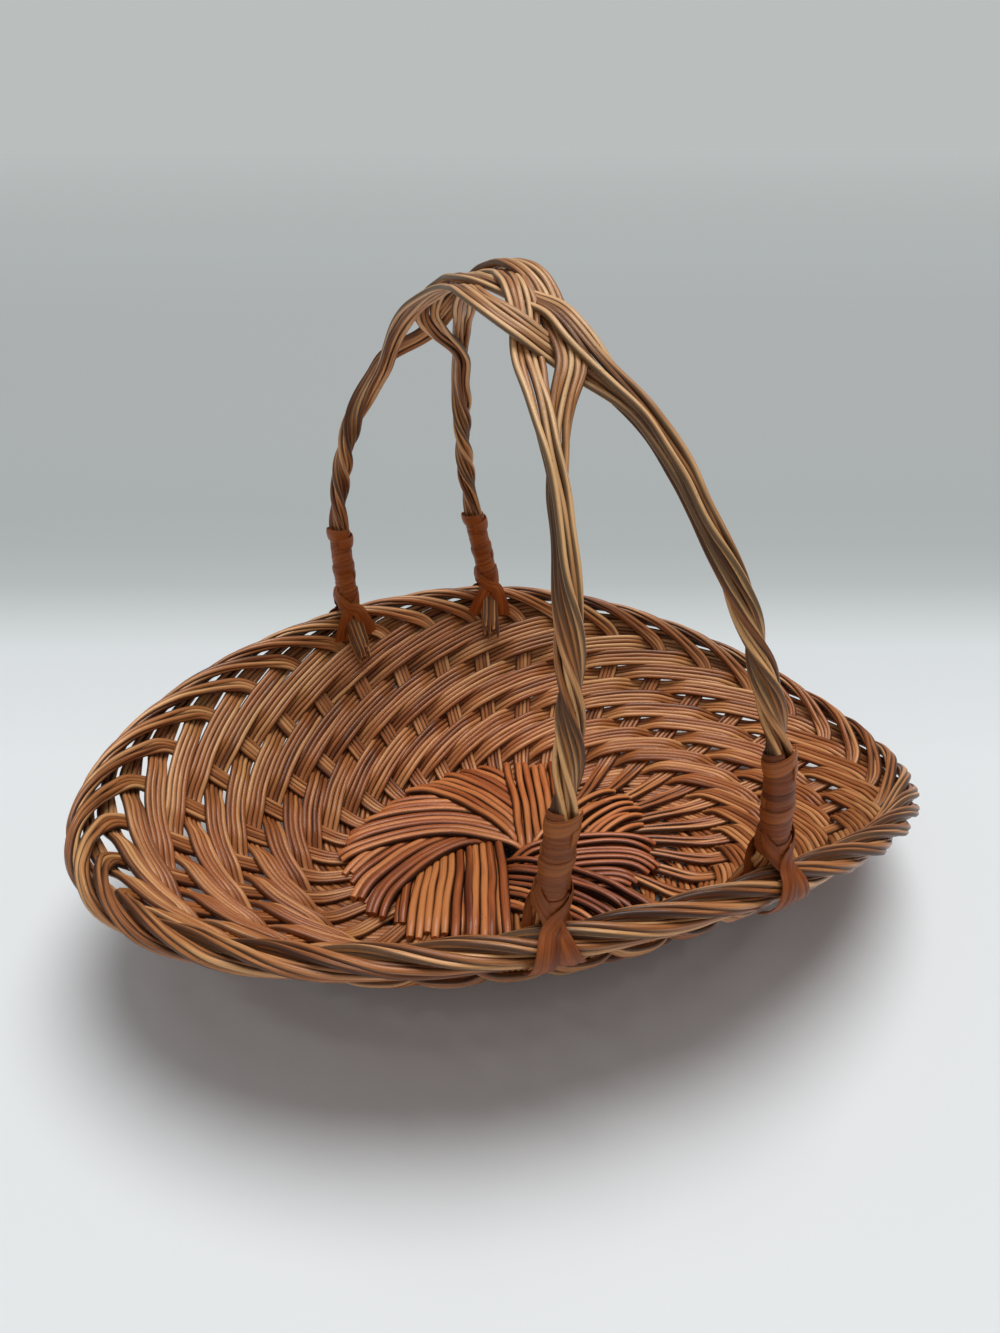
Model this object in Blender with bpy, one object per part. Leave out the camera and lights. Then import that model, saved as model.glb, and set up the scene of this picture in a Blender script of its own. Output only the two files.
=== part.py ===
# Gathering basket, woven by hand from flat bands of round cane.
#
# Thirty-six alike bands make the wall. Each one stands up as a stake, turns over at the rim
# and comes back down the wall as a long arc, inside two stakes and outside the next.
# Eight wide bands swirl over the stake ends on the base, a rope foot carries the bowl,
# and four bands twisted in pairs make the arched handle. Each leg is bound with a strip of
# peel that starts on the rim, and a second strip saddles the rim on its other side.
# Lengths are in metres, the long axis is X, and the basket stands on Z = 0.

import math

import bmesh
import bpy
import numpy as np

# Bowl
rim_half_length = 0.1995
rim_half_width = 0.1455
rim_height_middle = 0.0930
rim_height_left_end = 0.0740
rim_height_right_end = 0.0410
foot_half_length = 0.1000
foot_half_width = 0.0740
wall_belly = 0.0060

# Wall bands
stake_count = 36
cane_thickness = 0.0024
band_width = 0.0090
stake_foot_width = 0.0064
layer_gap = 0.0004
side_gap = 0.0005
bundle_width = 0.0046
bundle_thickness = 0.0036
turn_rise = 0.0105
roll_half_width = 0.0038

# Base and foot
arm_count = 8
foot_ring_height = 0.0078
foot_ring_width = 0.0120
foot_flat_width = 0.0060
foot_lay = 0.0008
seat_gap = 0.0003
hub_radius = 0.0020

# Handle
handle_height = 0.2860
leg_half_spacing = 0.0465
leg_inset = 0.0015
leg_tail_length = 0.0240
handle_band_width = 0.0064
handle_band_thickness = 0.0042
crown_half_length = 0.1000
crown_half_width = 0.0200
crown_band_width = 0.0076
crown_band_thickness = 0.0030

# Leg bindings
peel_width = 0.0042
peel_thickness = 0.0008
peel_turn_gap = 0.0009
binding_turns = 8
binding_lift = 0.0032
strap_drop = 0.0120
tie_gap = 0.0009

# Shares and counts that carry no length
even_spacing_share = 0.15
turn_start_share = 0.835
first_arc_share = 0.878
arc_step_share = 0.092
arc_first_width_share = 0.84
arc_tuck_crossing = 13
arc_end_crossing = 15
arm_start_share = 0.02
arm_end_share = 0.92
arm_overlap_share = 0.30
arm_outer_share = 0.88
arm_sweep_turn_share = 0.075
arm_level_start_share = 0.6
foot_belly_share = 0.45
near_arch_share = 1.7
far_arch_share = 2.15
near_crown_share = 0.9
leg_lean_share = 0.40
roll_reach_share = 1.04
leg_clear_share = 1.12
strap_middle_share = 1.20
winding_span_share = 0.6
small_share = 0.01
slope_step_share = 0.1
rim_share = 1.0
stake_growth_share = 1.2
leg_twist_turn_share = 1.25
twist_start_share = 0.12
twist_span_share = 0.8
tail_shares = (1.0, 0.62)
tail_bend_share = 0.34
winding_start_turn_share = 0.25
foot_lay_count = 48
arm_step_count = 8
arm_facet_count = 4
winding_table_count = 24
leg_step_count = 14
crown_step_count = 40
turn_point_count = 12
strap_degrees = (0.0, 30.0, 60.0, 90.0, 118.0)
tie_degrees = (0.0, 30.0, 60.0, 90.0, 120.0, 150.0, 180.0)
knot_shares = (-0.34, 0.0, 0.25, 0.5, 0.75, 1.0)

# The border, from where a stake leaves the wall until it lies down on the outside as an arc.
# Rows: crossings passed, place across the wall, place down from the rim, roll of the band in
# quarter turns and how far the band is drawn together to a bundle.
border_shares = (
    (0.20, 0.42, 1.36, 0.00, 0.20),
    (0.50, 0.76, 1.02, 0.00, 0.45),
    (0.78, 0.95, 0.70, 0.05, 0.70),
    (1.05, 1.04, 0.44, 0.20, 0.90),
    (1.35, 0.95, 0.21, 0.45, 1.00),
    (1.65, 0.62, 0.07, 0.72, 1.00),
    (2.00, 0.05, 0.00, 1.00, 1.00),
    (2.35, -0.62, 0.06, 1.28, 1.00),
    (2.65, -0.95, 0.17, 1.55, 1.00),
    (2.95, -1.04, 0.45, 1.80, 0.90),
    (3.40, -0.95, 0.82, 2.00, 0.60),
)

# Each leg: its name, its side of the basket and how far along the basket it stands at even
# steps from the rim to the crown, in half leg spacings
leg_shares = (
    ("far_left", 1.0, (-1.10, -1.10, -1.04, -0.90, -0.66)),
    ("far_right", 1.0, (0.76, 0.58, 0.42, 0.30, 0.19)),
    ("near_left", -1.0, (-0.99, -0.90, -0.76, -0.64, -0.525)),
    ("near_right", -1.0, (0.99, 0.94, 0.85, 0.70, 0.50)),
)

# The crown, where four bands part from their legs and cross each other. Rows: place across the
# basket from the far side to the near side, place along it, both in half crown sizes, and layer.
crown_right_shares = (
    (1.00, 0.45, -0.70),
    (0.94, 0.20, -0.72),
    (0.88, -0.25, -0.66),
    (0.82, -0.55, -0.62),
    (0.77, -0.78, -0.15),
    (0.71, -0.80, 0.50),
    (0.63, -0.75, 0.60),
    (0.55, -0.62, 0.50),
    (0.45, -0.65, 0.10),
    (0.32, -0.74, -0.45),
    (0.16, -0.85, -0.80),
    (0.02, -0.90, -0.75),
    (-0.10, -0.82, -0.60),
    (-0.18, -0.65, -0.45),
    (-0.25, -0.42, -0.32),
    (-0.31, -0.27, 0.18),
    (-0.38, -0.15, 0.80),
    (-0.48, -0.05, 1.10),
    (-0.56, 0.12, 0.95),
    (-0.64, 0.40, 0.70),
    (-0.74, 0.75, 0.70),
    (-0.90, 1.16, 0.70),
)
crown_under_shares = (
    (1.00, 0.45, 0.70),
    (0.92, 0.32, 0.62),
    (0.84, 0.20, 0.10),
    (0.76, 0.08, -0.35),
    (0.66, -0.05, -0.50),
    (0.55, -0.12, -0.50),
    (0.40, -0.17, -0.48),
    (0.25, -0.22, -0.48),
    (0.10, -0.28, -0.48),
    (0.00, -0.34, -0.35),
    (-0.08, -0.45, -0.05),
    (-0.14, -0.54, 0.35),
    (-0.20, -0.60, 0.66),
    (-0.26, -0.65, 0.60),
    (-0.32, -0.67, 0.00),
    (-0.38, -0.74, -0.62),
    (-0.44, -0.85, -0.98),
    (-0.52, -0.96, -0.70),
    (-0.60, -1.04, -0.20),
    (-0.70, -1.12, 0.30),
    (-0.80, -1.19, 0.64),
    (-0.90, -1.22, 0.70),
)
crown_left_shares = (
    (1.00, -1.53, 0.70),
    (0.96, -1.15, 0.70),
    (0.92, -0.72, 0.68),
    (0.88, -0.48, 0.66),
    (0.83, -0.37, 0.60),
    (0.77, -0.30, 0.50),
    (0.70, -0.20, 0.50),
    (0.62, -0.09, 0.52),
    (0.50, 0.00, 0.55),
    (0.35, 0.00, 0.55),
    (0.20, -0.06, 0.55),
    (0.08, -0.12, 0.58),
    (-0.02, -0.15, 0.58),
    (-0.10, -0.11, 0.50),
    (-0.17, -0.05, 0.15),
    (-0.24, -0.02, -0.55),
    (-0.31, -0.08, -0.98),
    (-0.38, -0.15, -0.62),
    (-0.44, -0.19, -0.15),
    (-0.49, -0.22, 0.15),
    (-0.54, -0.26, 0.35),
    (-0.59, -0.36, 0.45),
    (-0.65, -0.60, 0.10),
    (-0.72, -0.83, -0.42),
    (-0.81, -1.02, -0.70),
    (-0.90, -1.22, -0.70),
)
crown_over_shares = (
    (1.00, -1.53, -0.70),
    (0.90, -1.45, -0.68),
    (0.79, -1.35, -0.60),
    (0.66, -1.22, -0.75),
    (0.54, -1.10, -1.00),
    (0.40, -1.03, -1.40),
    (0.25, -1.05, -1.80),
    (0.12, -1.12, -1.85),
    (0.00, -1.25, -1.55),
    (-0.10, -1.36, -0.95),
    (-0.19, -1.41, -0.30),
    (-0.26, -1.38, 0.15),
    (-0.33, -1.26, 0.40),
    (-0.39, -1.08, 0.48),
    (-0.44, -0.85, 0.40),
    (-0.48, -0.56, -0.42),
    (-0.51, -0.30, -0.98),
    (-0.55, -0.08, -1.00),
    (-0.60, 0.14, -0.78),
    (-0.66, 0.42, -0.70),
    (-0.74, 0.75, -0.70),
    (-0.90, 1.16, -0.70),
)

stake_step = 2.0 * math.pi / stake_count
layer_step = cane_thickness + layer_gap
base_height = foot_ring_height + seat_gap + layer_step + cane_thickness / 2.0
half_pair = (handle_band_thickness + layer_gap) / 2.0

flat_outline_shares = ((-1.0, -1.0), (1.0, -1.0), (1.0, 1.0), (-1.0, 1.0))
cane_outline_shares = (
    (-1.0, 0.0),
    (-0.5, -1.0),
    (0.5, -1.0),
    (1.0, 0.0),
    (0.5, 1.0),
    (-0.5, 1.0),
)
leg_core = math.hypot(handle_band_width / 4.0, handle_band_thickness + layer_gap / 2.0)
legs = {leg[0]: leg for leg in leg_shares}

# How far into the bowl a leg's middle stands from the middle of the wall
leg_stand = (
    leg_clear_share * roll_half_width + bundle_thickness / 2.0 + seat_gap + handle_band_width / 2.0
)
tail_stand = layer_step + cane_thickness / 2.0 + seat_gap + handle_band_width / 2.0
winding_radius = leg_core + layer_gap + peel_thickness / 2.0
strap_stand = math.hypot(bundle_width, bundle_thickness) / 2.0 + seat_gap + peel_thickness / 2.0
leg_spread_share = leg_half_spacing / rim_half_length
leg_reach = rim_half_width * math.sqrt(1.0 - leg_spread_share * leg_spread_share) - leg_inset
leg_base = rim_height_middle + leg_stand / 2.0


def unit(vector):
    return vector / np.linalg.norm(vector)


def smooth(value):
    value = min(max(value, 0.0), 1.0)
    return value * value * (3.0 - 2.0 * value)


def oval_angle(turn):
    """Angle of the oval for an even spacing of the stakes along the wall."""
    return turn + 0.5 * even_spacing_share * math.sin(2.0 * turn)


def rim_height(angle):
    end = rim_height_right_end if math.cos(angle) > 0.0 else rim_height_left_end
    blend = math.cos(angle) ** 2
    return rim_height_middle * (1.0 - blend) + end * blend


def wall_knot(turn, share):
    """Middle of the wall; a share under nought lies on the flat base, one is the rim."""
    angle = oval_angle(turn)
    across = np.array([math.cos(angle), math.sin(angle), 0.0])
    foot = across * np.array([foot_half_length, foot_half_width, 0.0])
    foot[2] = base_height
    rim = across * np.array([rim_half_length, rim_half_width, 0.0])
    rim[2] = rim_height(angle)
    line = rim - foot
    if share <= 0.0:
        return foot + across * share * float(np.linalg.norm(line))
    flat = unit(np.array([line[0], line[1], 0.0]))
    rise = unit(line)
    outward = flat * rise[2] - np.array([0.0, 0.0, 1.0]) * float(rise @ flat)
    return foot + line * share + outward * wall_belly * math.sin(math.pi * share)


def knot_normal(turn, index):
    """Offset into the bowl at one knot of the wall; its length keeps layers parallel."""
    here = knot_shares[index]
    before = knot_shares[max(index - 1, 0)]
    after = knot_shares[min(index + 1, len(knot_shares) - 1)]
    along = wall_along(turn, here)
    knot = wall_knot(turn, here)
    sides = []
    if before < here:
        sides.append(unit(np.cross(knot - wall_knot(turn, before), along)))
    if after > here:
        sides.append(unit(np.cross(wall_knot(turn, after) - knot, along)))
    middle = unit(sides[0] + sides[-1])
    return middle / float(middle @ sides[0])


def wall_point(turn, share, lift=0.0):
    """A point of the wall, lifted into the bowl, and the direction into the bowl there."""
    index = len(knot_shares) - 2
    while index > 0 and share < knot_shares[index]:
        index -= 1
    low = knot_shares[index]
    part = (share - low) / (knot_shares[index + 1] - low)
    start = wall_knot(turn, low)
    end = wall_knot(turn, knot_shares[index + 1])
    inward = knot_normal(turn, index) * (1.0 - part) + knot_normal(turn, index + 1) * part
    return start + (end - start) * part + inward * lift, inward


def wall_length(turn):
    return float(np.linalg.norm(wall_knot(turn, rim_share) - wall_knot(turn, 0.0)))


def spacing(turn, share):
    """Distance to the same place on the next stake."""
    half = stake_step / 2.0
    return float(np.linalg.norm(wall_knot(turn + half, share) - wall_knot(turn - half, share)))


def stake_width(share):
    grown = smooth((share - knot_shares[0]) / stake_growth_share)
    return stake_foot_width + (band_width - stake_foot_width) * grown


def arc_share(crossing):
    return first_arc_share - arc_step_share * (crossing - 4.0)


def arc_side(crossing):
    """One where an arc passes inside a stake, minus one where it passes outside."""
    if crossing >= arc_tuck_crossing:
        return -1.0
    return -1.0 if (crossing - 4) % 3 == 0 else 1.0


def border_place(turn, across, down):
    """A point near the rim, given across the wall and down from the rim's top."""
    top, inward = wall_point(turn, rim_share)
    up = unit(wall_knot(turn, rim_share) - wall_knot(turn, knot_shares[-2]))
    return top + inward * across - up * down, inward, up


def wall_along(turn, share):
    little = stake_step * slope_step_share
    return unit(wall_knot(turn + little, share) - wall_knot(turn - little, share))


def stake_part(home):
    """Stations of the upright stake, from under the base arms to where it begins to turn."""
    stations = []
    for share in knot_shares[:-1] + (turn_start_share,):
        point, inward = wall_point(home, share)
        across = wall_along(home, share) * (-stake_width(share) / 2.0)
        stations.append(corners(point, across, inward * (cane_thickness / 2.0)))
    return stations


def border_part(home):
    """Stations of the turn over the rim, where the band is drawn together and rolls over."""
    places = []
    for passed, across, down, roll, drawn in border_shares:
        turn = home + passed * stake_step
        point, inward, up = border_place(turn, across * roll_half_width, down * turn_rise)
        angle = roll * math.pi / 2.0
        facing = inward * math.cos(angle) + up * math.sin(angle)
        width = band_width + (bundle_width - band_width) * drawn
        thickness = cane_thickness + (bundle_thickness - cane_thickness) * drawn
        places.append((point, facing, width, thickness))
    first = sum(stake_part(home)[-1]) / 4.0
    last = sum(arc_part(home)[0]) / 4.0
    centres = [first] + [place[0] for place in places] + [last]
    stations = []
    for index, (point, facing, width, thickness) in enumerate(places):
        sideways = unit(np.cross(unit(centres[index + 2] - centres[index]), facing))
        stations.append(corners(point, sideways * (width / 2.0), facing * (thickness / 2.0)))
    return stations


def arc_places():
    """Crossings at which the arc has a station, each with the side that it lies on."""
    places = []
    for crossing in range(4, arc_end_crossing + 1):
        share = arc_share(crossing)
        zone = (stake_width(share) / 2.0 + layer_gap) / spacing(0.0, share)
        side = arc_side(crossing)
        if crossing == 4:
            places.append((crossing - zone, side))
            places.append((crossing + 0.45, side))
        elif side > 0.0 and arc_side(crossing + 1) > 0.0:
            places.append((crossing - zone, side))
            places.append((crossing + 0.5, side))
        elif side > 0.0 and arc_side(crossing - 1) > 0.0:
            places.append((crossing + zone, side))
        else:
            places.append((crossing - zone, side))
            places.append((crossing + zone, side))
    return places


def arc_part(home):
    """Stations of the arc that comes back down the wall, over and under the stakes."""
    stations = []
    for crossing, side in arc_places():
        turn = home + crossing * stake_step
        share = arc_share(crossing)
        length = wall_length(turn)
        slope = arc_step_share * length / spacing(turn, share)
        tall = min(band_width * math.hypot(1.0, slope), arc_step_share * length - side_gap)
        if crossing < 5.0:
            tall *= arc_first_width_share
        half = tall / 2.0 / length
        low = share - half
        high = share + half
        if side < 0.0 < share:
            low = max(low, 0.0)
        elif side < 0.0:
            high = min(high, 0.0)
        ring = []
        for edge, deep in ((high, 1.0), (low, 1.0), (low, -1.0), (high, -1.0)):
            lift = side * layer_step + deep * cane_thickness / 2.0
            ring.append(wall_point(turn, edge, lift)[0])
        stations.append(ring)
    return stations


def band_stations(number):
    """The corners of one band at its stations, from end to end."""
    home = number * stake_step
    return stake_part(home) + border_part(home) + arc_part(home)


def corners(centre, across, deep, outline_shares=flat_outline_shares):
    """Corners of a band's section, its outline given in half widths and half thicknesses."""
    ring = []
    for across_share, deep_share in outline_shares:
        ring.append(centre + across * across_share + deep * deep_share)
    return ring


def sweep(name, stations):
    """A closed solid through the corners of its stations."""
    mesh = bpy.data.meshes.new(name)
    work = bmesh.new()
    rings = []
    for ring in stations:
        rings.append([work.verts.new(corner) for corner in ring])
    close_rings(work, rings)
    work.to_mesh(mesh)
    work.free()
    return finish(name, mesh)


def close_rings(work, rings, joined=False):
    """Skin between rings of corners, with an end face on the first and last ring."""
    count = len(rings[0])
    pairs = list(zip(rings, rings[1:]))
    if joined:
        pairs.append((rings[-1], rings[0]))
    for low, high in pairs:
        for corner in range(count):
            other = (corner + 1) % count
            work.faces.new((low[corner], low[other], high[other], high[corner]))
    if not joined:
        work.faces.new(list(reversed(rings[0])))
        work.faces.new(rings[-1])
    bmesh.ops.recalc_face_normals(work, faces=work.faces)
    bmesh.ops.triangulate(work, faces=work.faces)


def finish(name, mesh):
    mesh.shade_smooth()
    mesh.set_sharp_from_angle(angle=math.radians(40.0))
    piece = bpy.data.objects.new(name, mesh)
    bpy.context.scene.collection.objects.link(piece)
    return piece


def cane_material(name, colour, roughness):
    material = bpy.data.materials.new(name)
    material.use_nodes = True
    shader = material.node_tree.nodes["Principled BSDF"]
    shader.inputs["Base Color"].default_value = (*colour, 1.0)
    shader.inputs["Roughness"].default_value = roughness
    shader.inputs["Metallic"].default_value = 0.0
    return material


def arm_point(arm, share, part, lift):
    """A point of a base arm; part runs from its top edge to the edge that is tucked under."""
    pitch = 2.0 * math.pi / arm_count
    grown = (share - arm_start_share) / (arm_end_share - arm_start_share)
    wide = 1.0 + arm_overlap_share + (arm_outer_share - 1.0 - arm_overlap_share) * smooth(grown)
    edge = arm * pitch + 2.0 * math.pi * arm_sweep_turn_share * grown
    angle = oval_angle(edge - part * wide * pitch)
    level_part = (grown - arm_level_start_share) / (1.0 - arm_level_start_share)
    height = layer_step * (1.0 + arm_overlap_share - part * wide) * (1.0 - smooth(level_part))
    length = hub_radius + (foot_half_length - hub_radius) * share
    width = hub_radius + (foot_half_width - hub_radius) * share
    level = base_height + layer_step + height + lift
    return np.array([length * math.cos(angle), width * math.sin(angle), level])


def base_arm(arm):
    """One wide band of the base, lying over the stake ends and over the next arm."""
    name = "base_arm_%d" % (arm + 1)
    mesh = bpy.data.meshes.new(name)
    work = bmesh.new()
    rings = []
    parts = [facet / arm_facet_count for facet in range(arm_facet_count + 1)]
    for step in range(arm_step_count + 1):
        share = arm_start_share + (arm_end_share - arm_start_share) * step / arm_step_count
        top = [arm_point(arm, share, part, cane_thickness / 2.0) for part in parts]
        bottom = [arm_point(arm, share, part, -cane_thickness / 2.0) for part in parts]
        rings.append([work.verts.new(point) for point in top + bottom[::-1]])
    close_rings(work, rings)
    work.to_mesh(mesh)
    work.free()
    return finish(name, mesh)


def foot_ring():
    """The rope foot: an oval ring with the lay of its canes, flat underneath."""
    name = "foot_ring"
    mesh = bpy.data.meshes.new(name)
    work = bmesh.new()
    half = foot_ring_width / 2.0
    flat = foot_flat_width / 2.0
    profile = (
        (-flat, 0.0),
        (flat, 0.0),
        (half, foot_ring_height * foot_belly_share),
        (flat, foot_ring_height),
        (-flat, foot_ring_height),
        (-half, foot_ring_height * foot_belly_share),
    )
    rings = []
    for step in range(foot_lay_count):
        turn = step * 2.0 * math.pi / foot_lay_count
        angle = oval_angle(turn)
        lay = foot_lay * (1.0 if step % 2 else 0.0)
        ring = []
        for place, (out, height) in enumerate(profile):
            if place in (2, 5):
                out -= math.copysign(lay, out)
            length = foot_half_length - half + out
            width = foot_half_width - half + out
            ring.append(work.verts.new((length * math.cos(angle), width * math.sin(angle), height)))
        rings.append(ring)
    close_rings(work, rings, joined=True)
    work.to_mesh(mesh)
    work.free()
    return finish(name, mesh)


def along_rows(rows, place):
    """A smooth curve through rows of numbers; place counts the rows from nought."""
    place = min(max(place, 0.0), len(rows) - 1.0)
    index = min(int(place), len(rows) - 2)
    part = place - index
    near = [np.array(rows[min(max(index + step, 0), len(rows) - 1)]) for step in range(-1, 3)]
    rise_low = (near[2] - near[0]) / 2.0
    rise_high = (near[3] - near[1]) / 2.0
    square = part * part
    cube = square * part
    return (
        near[1] * (2.0 * cube - 3.0 * square + 1.0)
        + rise_low * (cube - 2.0 * square + part)
        + near[2] * (3.0 * square - 2.0 * cube)
        + rise_high * (cube - square)
    )


def arch_place(side_y, rise):
    """Reach and lift of the arch: reach runs from one to nought and lift from nought to one."""
    power = near_arch_share if side_y < 0.0 else far_arch_share
    angle = rise * math.pi / 2.0
    return math.cos(angle) ** (2.0 / power), math.sin(angle) ** (2.0 / power)


def arch_rise(side_y, reach):
    power = near_arch_share if side_y < 0.0 else far_arch_share
    return math.acos(reach ** (power / 2.0)) * 2.0 / math.pi


def arch_point(side_x, y):
    """A point on the middle surface of the arch near the crown, and the direction out of it."""
    points = []
    for place in (y, y + layer_step):
        side_y = -1.0 if place < 0.0 else 1.0
        lift = arch_place(side_y, arch_rise(side_y, abs(place) / leg_reach))[1]
        points.append(np.array([side_x, place, leg_base + (handle_height - leg_base) * lift]))
    travel = unit(points[1] - points[0])
    return points[0], np.array([0.0, -travel[2], travel[1]])


def leg_turn(leg):
    """Place round the oval of a leg's foot."""
    side_y, shares = leg[1:]
    share = shares[0] * leg_half_spacing / rim_half_length
    wanted = math.atan2(side_y * math.sqrt(1.0 - share * share), share)
    turn = wanted
    for _ in range(20):
        turn += wanted - oval_angle(turn)
    return turn


def leg_foot(leg):
    return border_place(leg_turn(leg), leg_stand, 0.0)[0]


def leg_axis(leg, part):
    """Middle of a leg: nought at its foot on the rim, one where its bands part at the crown."""
    side_y, shares = leg[1:]
    foot = leg_foot(leg)
    crown = crown_half_length * (1.0 if side_y > 0.0 else near_crown_share)
    reach, lift = arch_place(side_y, part * arch_rise(side_y, crown / leg_reach))
    drawn_in = (leg_reach - abs(foot[1])) * (1.0 - smooth(part / leg_lean_share))
    rows = [(share,) for share in shares]
    x = along_rows(rows, part * (len(rows) - 1.0))[0] * leg_half_spacing
    x += (foot[0] - shares[0] * leg_half_spacing) * (1.0 - smooth(part / leg_lean_share))
    z = leg_base + (handle_height - leg_base) * lift
    z += (foot[2] - leg_base) * (1.0 - smooth(part / leg_lean_share))
    return np.array([x, side_y * (leg_reach * reach - drawn_in), z])


def leg_frame(leg, part):
    """Along, across and above directions of a leg at one place from foot to crown."""
    low = leg_axis(leg, max(part - small_share, 0.0))
    high = leg_axis(leg, min(part + small_share, 1.0))
    along = unit(high - low)
    outward = np.array([0.0, leg[1], 1.0])
    above = unit(outward - along * float(outward @ along))
    return along, np.cross(along, above), above


def leg_part(leg, sign):
    """Stations of one band of a twisted pair, from its tail on the wall up to the crown."""
    turn = leg_turn(leg)
    drop = leg_tail_length / wall_length(turn)
    beside = wall_along(turn, rim_share)
    places = [(share, tail_stand) for share in tail_shares] + [(tail_bend_share, leg_stand)]
    stations = []
    for share, stand in places:
        point, inward = wall_point(turn, rim_share - drop * share, stand)
        stations.append((point, beside, unit(inward)))
    for step in range(leg_step_count):
        part = step / leg_step_count
        along, across, above = leg_frame(leg, part)
        twisted = 1.0 - smooth((part - twist_start_share) / twist_span_share)
        twist = 2.0 * math.pi * leg_twist_turn_share * twisted
        facing = above * math.cos(twist) + across * math.sin(twist)
        stations.append((leg_axis(leg, part), facing, np.cross(along, facing)))
    result = []
    for point, facing, other in stations:
        wide = other * (handle_band_width / 2.0)
        deep = facing * (handle_band_thickness / 2.0)
        result.append((point + facing * sign * half_pair, wide, deep))
    return result


def crown_part(rows):
    """Stations of one band over the crown, from a far leg to a near leg."""
    layer = crown_band_thickness + layer_gap
    points = []
    for step in range(crown_step_count + 1):
        across, side, level = along_rows(rows, step * (len(rows) - 1.0) / crown_step_count)
        point, above = arch_point(side * crown_half_width, across * crown_half_length)
        points.append((point + above * level * layer, above))
    result = []
    for index, (point, above) in enumerate(points):
        ahead = points[min(index + 1, crown_step_count)][0] - points[max(index - 1, 0)][0]
        across = unit(np.cross(ahead, above))
        above = unit(np.cross(across, ahead))
        inner = smooth(4.0 * min(index, crown_step_count - index) / crown_step_count)
        width = handle_band_width + (crown_band_width - handle_band_width) * inner
        thick = handle_band_thickness + (crown_band_thickness - handle_band_thickness) * inner
        result.append((point, across * (width / 2.0), above * (thick / 2.0)))
    return result


def even_rings(stations, outline_shares):
    """Rings of corners, each turned so that its corners follow those of the ring before."""
    rings = []
    before = None
    for index, (point, wide, deep) in enumerate(stations):
        travel = stations[min(index + 1, len(stations) - 1)][0] - stations[max(index - 1, 0)][0]
        if float(np.cross(wide, deep) @ travel) < 0.0:
            wide = -wide
        if before and float(wide @ before[0]) + float(deep @ before[1]) < 0.0:
            wide = -wide
            deep = -deep
        before = (wide, deep)
        rings.append(corners(point, wide, deep, outline_shares))
    return rings


def handle_band(name, far_leg, near_leg, rows):
    """One band of the handle, from a far leg over the crown to a near leg."""
    far_sign = math.copysign(1.0, rows[0][2])
    near_sign = math.copysign(1.0, rows[-1][2])
    far = leg_part(legs[far_leg], far_sign)
    near = leg_part(legs[near_leg], near_sign)
    stations = far + crown_part(rows) + near[::-1]
    return sweep(name, even_rings(stations, cane_outline_shares))


def over_rim(degrees):
    """Places of a strip that lies over the rolled border, from outside the wall inwards."""
    middle = strap_middle_share * roll_half_width
    reach = roll_reach_share * roll_half_width + strap_stand
    places = [(-reach, strap_drop, 0.0)]
    for degree in degrees:
        angle = math.radians(degree)
        down = middle - (middle + strap_stand) * math.sin(angle)
        places.append((-reach * math.cos(angle), down, angle))
    return places


def rim_stations(turn, places):
    """Stations of a strip over the rim: the point, the width direction and the way it faces."""
    beside = wall_along(turn, rim_share)
    stations = []
    for across, down, angle in places:
        point, inward, up = border_place(turn, across, down)
        facing = unit(up * math.sin(angle) - inward * math.cos(angle))
        stations.append((point, beside, facing))
    return stations


def tie(leg):
    """A strip of peel that saddles the rim on the other side of a leg."""
    turn = leg_turn(leg)
    aside = half_pair + handle_band_thickness / 2.0 + tie_gap + peel_width / 2.0
    turn -= aside / spacing(turn, rim_share) * stake_step
    places = over_rim(tie_degrees)
    places.append((-places[0][0], strap_drop, math.pi))
    return peel_strip("tie_" + leg[0], rim_stations(turn, places))


def peel_strip(name, stations):
    """A flat strip of peel through its stations."""
    sized = []
    for point, wide, deep in stations:
        sized.append((point, wide * (peel_width / 2.0), deep * (peel_thickness / 2.0)))
    return sweep(name, even_rings(sized, flat_outline_shares))


def strap_part(leg, centre, out):
    """Stations of the peel that ties a leg down, from outside the wall over the rim."""
    turn = leg_turn(leg)
    turn += winding_radius / spacing(turn, rim_share) * stake_step
    stations = rim_stations(turn, over_rim(strap_degrees))
    point, _, facing = stations[-1]
    turned = unit(facing + out)
    between = (point + centre) / 2.0 + out * peel_thickness
    stations.append((between, np.cross(turned, unit(centre - point)), turned))
    return stations


def binding(leg):
    """Flat peel led over the rim and wound up the foot of a leg as one strip."""
    rise_a_turn = peel_width + peel_turn_gap
    steps = range(winding_table_count + 1)
    rises = [winding_span_share * step / winding_table_count for step in steps]
    table = [leg_axis(leg, rise) for rise in rises]
    lengths = [0.0]
    for low, high in zip(table, table[1:]):
        lengths.append(lengths[-1] + float(np.linalg.norm(high - low)))
    winding = []
    for step in range(binding_turns * turn_point_count + 1):
        climb = binding_lift + rise_a_turn * step / turn_point_count
        rise = float(np.interp(climb, lengths, rises))
        along, across, above = leg_frame(leg, rise)
        angle = 2.0 * math.pi * (step / turn_point_count + winding_start_turn_share)
        out = above * math.cos(angle) + across * math.sin(angle)
        winding.append((leg_axis(leg, rise) + out * winding_radius, along, out))
    centre, _, out = winding[0]
    stations = strap_part(leg, centre, out) + winding
    name = "binding_" + leg[0]
    report_gap(name, [station[0] for station in stations])
    return peel_strip(name, stations)


def report_gap(name, points):
    """Least gap between one turn of a winding and the next, measured on its points."""
    least = math.inf
    for index, point in enumerate(points):
        for other in points[index + turn_point_count - 2:]:
            least = min(least, float(np.linalg.norm(other - point)))
    print("%s least gap between turns %.2f mm" % (name, (least - peel_width) * 1000.0))


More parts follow.
